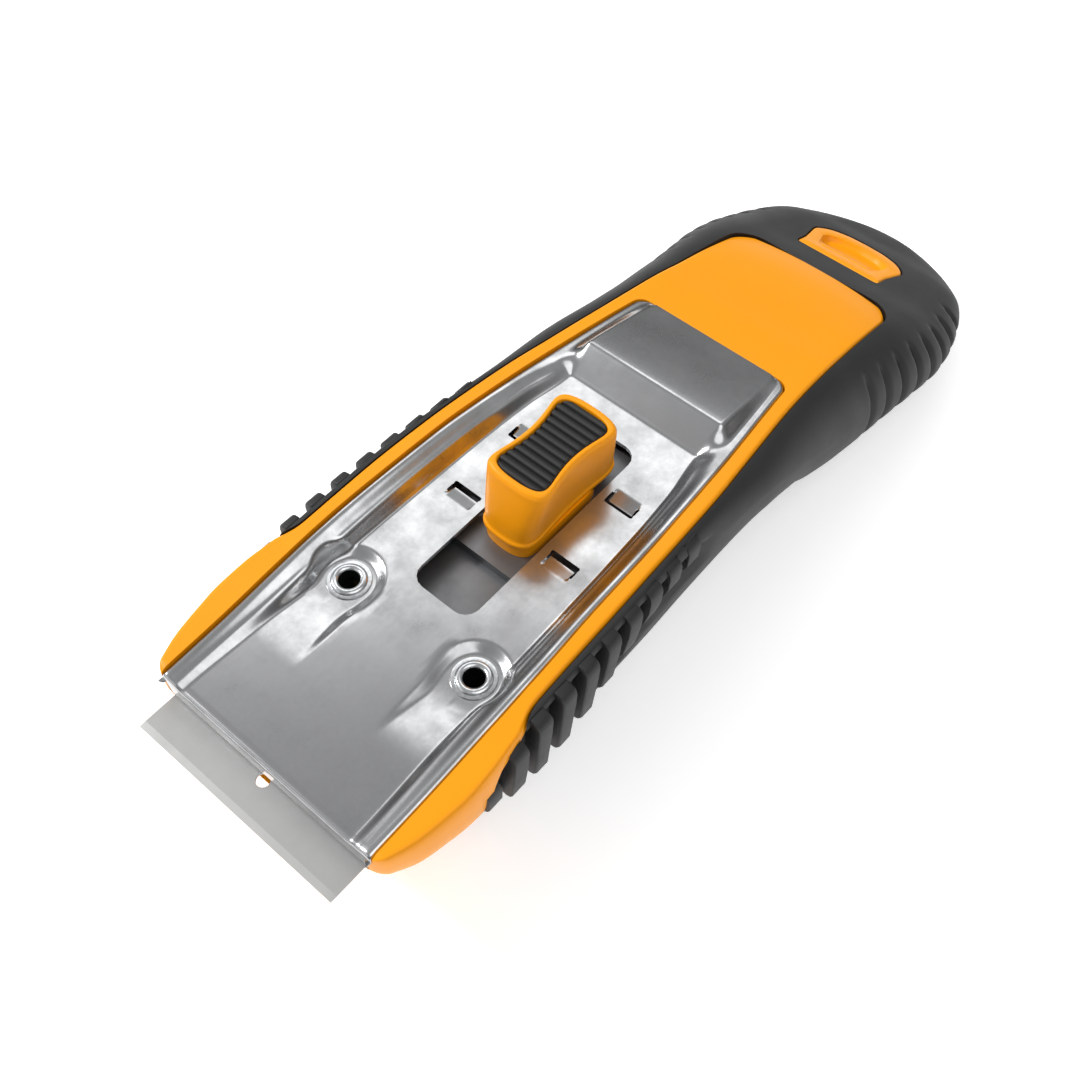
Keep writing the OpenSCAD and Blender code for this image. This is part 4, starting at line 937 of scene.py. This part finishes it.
lid_layers = [(moved_in(lid_ring, 0.2), -LID_T), (moved_in(lid_ring, 0.0), -LID_T + 0.15)]
lid_layers += [(lid_ring, h) for h in (-1.15, -0.95, -0.75, -0.58)]
lid_layers += [(moved_in(lid_ring, LID_EDGE_R * (1 - math.cos(a))), -LID_EDGE_R * (1 - math.sin(a)))
               for a in np.radians([0, 22, 45, 67, 90])]
lid_layers += [(moved_in(recess, -0.35), 0.0), (moved_in(recess, -0.15), -0.05),
               (recess, -0.2 - 0.3 * ramp((recess[:, 0] - 3) / 5, 0.4)),
               (moved_in(recess, 0.35), -recess_depth(recess)),
               (moved_in(recess, 0.75), -recess_depth(recess) - 0.04)]
lid_layers += [(shrunk(recess, share), -recess_depth(shrunk(recess, share)) - 0.04)
               for share in (0.7, 0.5, 0.3, 0.12)]
storage_lid = tube("tail_lid", np.stack([on_lid(hinged(loop, h), h) for loop, h in lid_layers]))


def hinge_rod(name, radius, reach):
    """A rod round the hinge's axis, reaching as far to either side."""
    turn = np.radians(np.arange(0, 360, 15))
    back, height = HINGE + radius * np.cos(turn), -HINGE + radius * np.sin(turn)
    return tube(name, np.stack([on_lid(np.stack([back, np.full_like(back, side)], -1), height)
                                for side in (-reach, reach)]))


carve(storage_lid, hinge_rod("knuckle", KNUCKLE_R, LID_W / 2 - 0.3), "UNION")
catch = box_loop(0, 0.8, 0, 2.3, 0.1, 24) + [12.0, 0]
carve(storage_lid, tube("catch", np.stack([on_lid(catch, h) for h in (-2.9, -1.2)])), "UNION")
carve(storage_lid, hinge_rod("pin_hole", PIN_R, LID_W))
smooth(storage_lid, 40)
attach(storage_lid, "lid")
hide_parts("storage_lid")
print("lid:", len(storage_lid.data.polygons), "faces")

# %% [markdown]
# ## Finishes
# Every finish is built from nodes. Colours are written as sRGB hex values, and pattern scales come from
# a real size in millimetres. One small function adds a node with its settings and links.

# %% Node helper and colours
def linear(hex_colour):
    """An sRGB hex value as the linear colour that a shader takes."""
    parts = [int(hex_colour[k:k + 2], 16) / 255 for k in (1, 3, 5)]
    return tuple(c / 12.92 if c <= 0.04045 else ((c + 0.055) / 1.055) ** 2.4 for c in parts) + (1,)


def add(material, kind, inputs, **settings):
    """Adds a node: inputs maps a socket to a value or to another node's output."""
    node = material.node_tree.nodes.new(kind)
    for key, value in settings.items():
        setattr(node, key, value)
    for key, value in inputs.items():
        if isinstance(value, bpy.types.NodeSocket):
            material.node_tree.links.new(value, node.inputs[key])
        else:
            node.inputs[key].default_value = value
    return node


def finish(name, **shader):
    """A material with an emptied tree, its surface shader and its object coordinates."""
    material = bpy.data.materials.new(name)
    material.use_nodes = True
    material.node_tree.nodes.clear()
    surface = add(material, "ShaderNodeBsdfPrincipled", shader)
    add(material, "ShaderNodeOutputMaterial", {"Surface": surface.outputs[0]})
    place = add(material, "ShaderNodeTexCoord", {}).outputs["Object"]
    return material, surface, place


def per_mm(size):
    """The scale of a pattern whose features are this many millimetres across."""
    return 1 / (size * MM)


def noise(material, vector, size, detail, **more):
    """A noise whose features are size millimetres across."""
    inputs = {"Vector": vector, "Scale": per_mm(size), "Detail": detail, **more}
    return add(material, "ShaderNodeTexNoise", inputs).outputs[0]


def colour_by(material, surface, pattern, low, high):
    """Lets the pattern mix the base colour from two hex values."""
    mix = add(material, "ShaderNodeMix", {0: pattern, 6: linear(low), 7: linear(high)}, data_type="RGBA")
    material.node_tree.links.new(mix.outputs[2], surface.inputs["Base Color"])


def rough_by(material, surface, pattern, low, high):
    """Lets the pattern move the roughness from low to high."""
    rough = add(material, "ShaderNodeMapRange", {0: pattern, 3: low, 4: high})
    material.node_tree.links.new(rough.outputs[0], surface.inputs["Roughness"])


def relief(material, pattern, strength, depth, **under):
    """The normal of a fine relief, depth millimetres deep, over another one."""
    inputs = {"Strength": strength, "Distance": depth * MM, "Height": pattern, **under}
    return add(material, "ShaderNodeBump", inputs).outputs[0]


# %% [markdown]
# The yellow is ABS, injection moulded in a lightly spark-eroded mould: an even, satin colour whose
# reflections are soft. The grain is finer than the render can show, so it is drawn at half a
# millimetre, and the colour wanders by a percent or two as moulded plastic does. The black is a
# thermoplastic rubber, moulded over the core: matt, a little dusty where the mould was textured, with a
# broad soft highlight. Plastics inside the tool are plain moulded nylon and acetal: dark, matt and
# slippery. All of them are one recipe: patches of colour, a grain, and a roughness that may follow the
# patches.

# %% Moulded plastics and rubber
def moulded(name, low, high, cloud, grain, bump, rough, **shader):
    """Cloud and grain are (size in mm, detail), bump is (strength, depth in mm), rough (low, high)."""
    material, surface, place = finish(name, **shader)
    patches = noise(material, place, *cloud)
    colour_by(material, surface, patches, low, high)
    normal = relief(material, noise(material, place, *grain), *bump)
    material.node_tree.links.new(normal, surface.inputs["Normal"])
    if rough:
        rough_by(material, surface, patches, *rough)
    return material


def inner_plastic(name, low, high, roughness):
    return moulded(name, low, high, (4, 3.0), (0.5, 2.0), (0.15, 0.05), None,
                   Roughness=roughness, IOR=1.5)


# %% [markdown]
# The plates are cold-rolled steel strip. Polished, the sheet is a cloudy mirror with faint lines along
# the way it was rolled; left plain, it is greyer and duller. Stretching a noise along X draws the
# rolling lines, and a wide noise gives the clouds that handling leaves.

# %% Sheet steels
def sheet_steel(name, dark, light, smoothest, roughest, lines, wave):
    material, surface, place = finish(name, Metallic=1.0)
    cloud = noise(material, place, 7, 5.0, Roughness=0.62)
    patches = add(material, "ShaderNodeMapRange", {0: cloud, 1: 0.3, 2: 0.7}).outputs[0]
    colour_by(material, surface, patches, dark, light)
    rough_by(material, surface, patches, roughest, smoothest)
    rolled = add(material, "ShaderNodeMapping", {"Vector": place, "Scale": (0.04, 1, 1)}).outputs[0]
    fine = relief(material, noise(material, rolled, 0.5, 3.0), lines, 0.02)
    normal = relief(material, noise(material, place, 9, 1.0), wave, 0.12, Normal=fine)
    material.node_tree.links.new(normal, surface.inputs["Normal"])
    return material


# %% [markdown]
# Screws, pins and rivets are bright zinc plated, a fine crystalline skin that scatters the light.

# %% Plated fasteners
def plated_steel(name, dark, light, roughness):
    material, surface, place = finish(name, Metallic=1.0, Roughness=roughness)
    crystal = add(material, "ShaderNodeTexVoronoi", {"Vector": place, "Scale": per_mm(0.6)}).outputs[0]
    colour_by(material, surface, crystal, light, dark)
    normal = relief(material, noise(material, place, 0.35, 2.0), 0.08, 0.02)
    material.node_tree.links.new(normal, surface.inputs["Normal"])
    return material


# %% Giving each piece its finish
def wear(finish_material, pieces):
    for piece in pieces:
        piece.data.materials.clear()
        piece.data.materials.append(finish_material)


yellow = moulded("abs_yellow_satin_moulded", "#F49A00", "#FA9F02", (18, 2.0), (0.5, 3.0), (0.12, 0.05),
                 (0.36, 0.46), **{"Roughness": 0.4, "IOR": 1.46, "Specular IOR Level": 0.3})
rubber = moulded("tpr_black_matt_moulded", "#161718", "#202122", (6, 4.0), (0.45, 4.0), (0.25, 0.08),
                 (0.5, 0.68), Roughness=0.58, IOR=1.5)
nylon = inner_plastic("nylon_black_moulded", "#28292A", "#343536", 0.5)
acetal = inner_plastic("acetal_grey_moulded", "#38393B", "#444547", 0.42)
polished = sheet_steel("steel_sheet_polished", "#9E9FA0", "#C6C7C8", 0.17, 0.29, 0.10, 0.22)
rolled = sheet_steel("steel_strip_rolled", "#747577", "#828385", 0.42, 0.52, 0.30, 0.05)
ground = sheet_steel("blade_steel_matt_ground", "#A6A6A5", "#ADADAC", 0.5, 0.56, 0.20, 0.0)
zinc = plated_steel("steel_bright_zinc_plated", "#B8BABC", "#D8DADC", 0.24)
pieces = [o for o in bpy.context.scene.objects if o.type == "MESH" and o.name not in nodes]
wear(yellow, [handle_frame, button, storage_lid])
wear(rubber, [grip_skin, pad] + [o for o in pieces if o.name.startswith("fin_")])
wear(polished, [cover])
wear(zinc, [o for o in pieces if o.name.startswith(("eyelet_", "washer_"))])
NODE_FINISHES = {
    rolled: ["base_plate", "blade_carrier", "slider_shoe", "detent_spring"],
    ground: ["blade", "spare_blades"],
    zinc: ["blade_pins", "shoe_rivets", "button_screws", "cartridge_screws", "housing_screws",
           "lid_hinge_pin", "eyelet_rivets"],
    acetal: ["left_spacer", "right_spacer"],
    nylon: ["grip_core", "storage_tray"],
    yellow: ["handle_frame", "thumb_button", "storage_lid"],
    rubber: ["rubber_grip", "button_pad"],
    polished: ["cover_plate"],
}
for material, names in NODE_FINISHES.items():
    for name in names:
        for slot in nodes[name].material_slots:
            slot.material = material
print("finished nodes:", sum(len(n) for n in NODE_FINISHES.values()), "of", len(nodes))

# %% [markdown]
# ## The studio
# The tool lies on a pale floor that glows a little. The key sun stands over the far side and casts the
# slot's and the button's shadows, and a very wide sun from the near side fills them. A panel behind the
# tail is there to be mirrored by the plate, a low panel in front lifts the nose, and the sky is darker
# towards the horizon, which gives the polished walls their grey.

# %% Floor and lights
FLOOR_GLOW = 0.45
LIGHT_AWAY = 0.8
bpy.ops.object.select_all(action="DESELECT")
bpy.ops.mesh.primitive_plane_add(size=6, location=(0, 0, 0))
floor = bpy.context.object
floor.name = "floor"
paper, surface, place = finish("paper_pale", Roughness=0.8)
tint = add(paper, "ShaderNodeTexNoise", {"Vector": place, "Scale": per_mm(200)}).outputs[0]
colour_by(paper, surface, tint, "#F8F8F8", "#FBFBFB")
surface.inputs["Emission Color"].default_value = (1, 1, 1, 1)
surface.inputs["Emission Strength"].default_value = FLOOR_GLOW
floor.data.materials.append(paper)


def towards(direction):
    """The rotation of a light or camera that looks back along this direction."""
    return Vector(direction).normalized().to_track_quat("Z", "Y").to_euler()


def light(kind, name, direction, energy, **settings):
    bpy.ops.object.light_add(type=kind, rotation=towards(direction),
                             location=Vector(direction).normalized() * LIGHT_AWAY)
    lamp = bpy.context.object
    lamp.name = lamp.data.name = name
    lamp.data.energy = energy
    for key, value in settings.items():
        setattr(lamp.data, key, value)
    return lamp


def panel(name, direction, width, height, radiance):
    """A rectangular soft box of an even radiance."""
    return light("AREA", name, direction, radiance * math.pi * width * height, shape="RECTANGLE",
                 size=width, size_y=height)


light("SUN", "key_sun", (0.3, -0.72, 0.66), 2.2, angle=math.radians(9))
light("SUN", "fill_sun", (0.1, 0.5, 0.85), 0.8, angle=math.radians(50))
panel("rear_panel", (-0.60, -0.52, 1.0), 0.75, 0.30, 1.7)
panel("front_panel", (0.85, -0.45, 0.42), 0.6, 0.35, 0.8)
world = bpy.data.worlds.new("studio")
bpy.context.scene.world = world
world.use_nodes = True
sky = world.node_tree.nodes["Background"]
sky.inputs[0].default_value = (1, 1, 1, 1)
direction = add(world, "ShaderNodeTexCoord", {}).outputs["Generated"]
slope = add(world, "ShaderNodeSeparateXYZ", {"Vector": direction})
glow = add(world, "ShaderNodeMapRange", {0: slope.outputs[2], 1: 0.15, 2: 0.6, 3: 0.1, 4: 0.42})
world.node_tree.links.new(glow.outputs[0], sky.inputs[1])
bpy.context.scene.view_settings.view_transform = "Standard"

# %% [markdown]
# ## The camera
# The photograph was taken from close by, high up and from the front left. The camera's place and lens
# follow from the blade's corners, the slot and the tail's outline in the photograph.

# %% Camera
EYE_BACK, EYE_SIDE, EYE_UP = -29.76, 75.21, 166.81
FORWARD = Vector((-0.4227, -0.3602, -0.8316))
UP = Vector((-0.629, -0.544, 0.5553))
FOCAL_PX, IMAGE_H = 1280, 1081
SENSOR = 36
bpy.ops.object.camera_add()
camera = bpy.context.object
right = FORWARD.cross(UP).normalized()
above = right.cross(FORWARD).normalized()
turned = Matrix((right, above, -FORWARD.normalized())).transposed().to_4x4()
eye = Vector(places(EYE_BACK, EYE_SIDE, EYE_UP).tolist()) * MM
camera.matrix_world = Matrix.Translation(eye) @ turned
camera.data.sensor_fit = "AUTO"
camera.data.sensor_width = SENSOR
camera.data.lens = SENSOR * FOCAL_PX / IMAGE_H
camera.data.clip_start = 0.01
bpy.context.scene.camera = camera
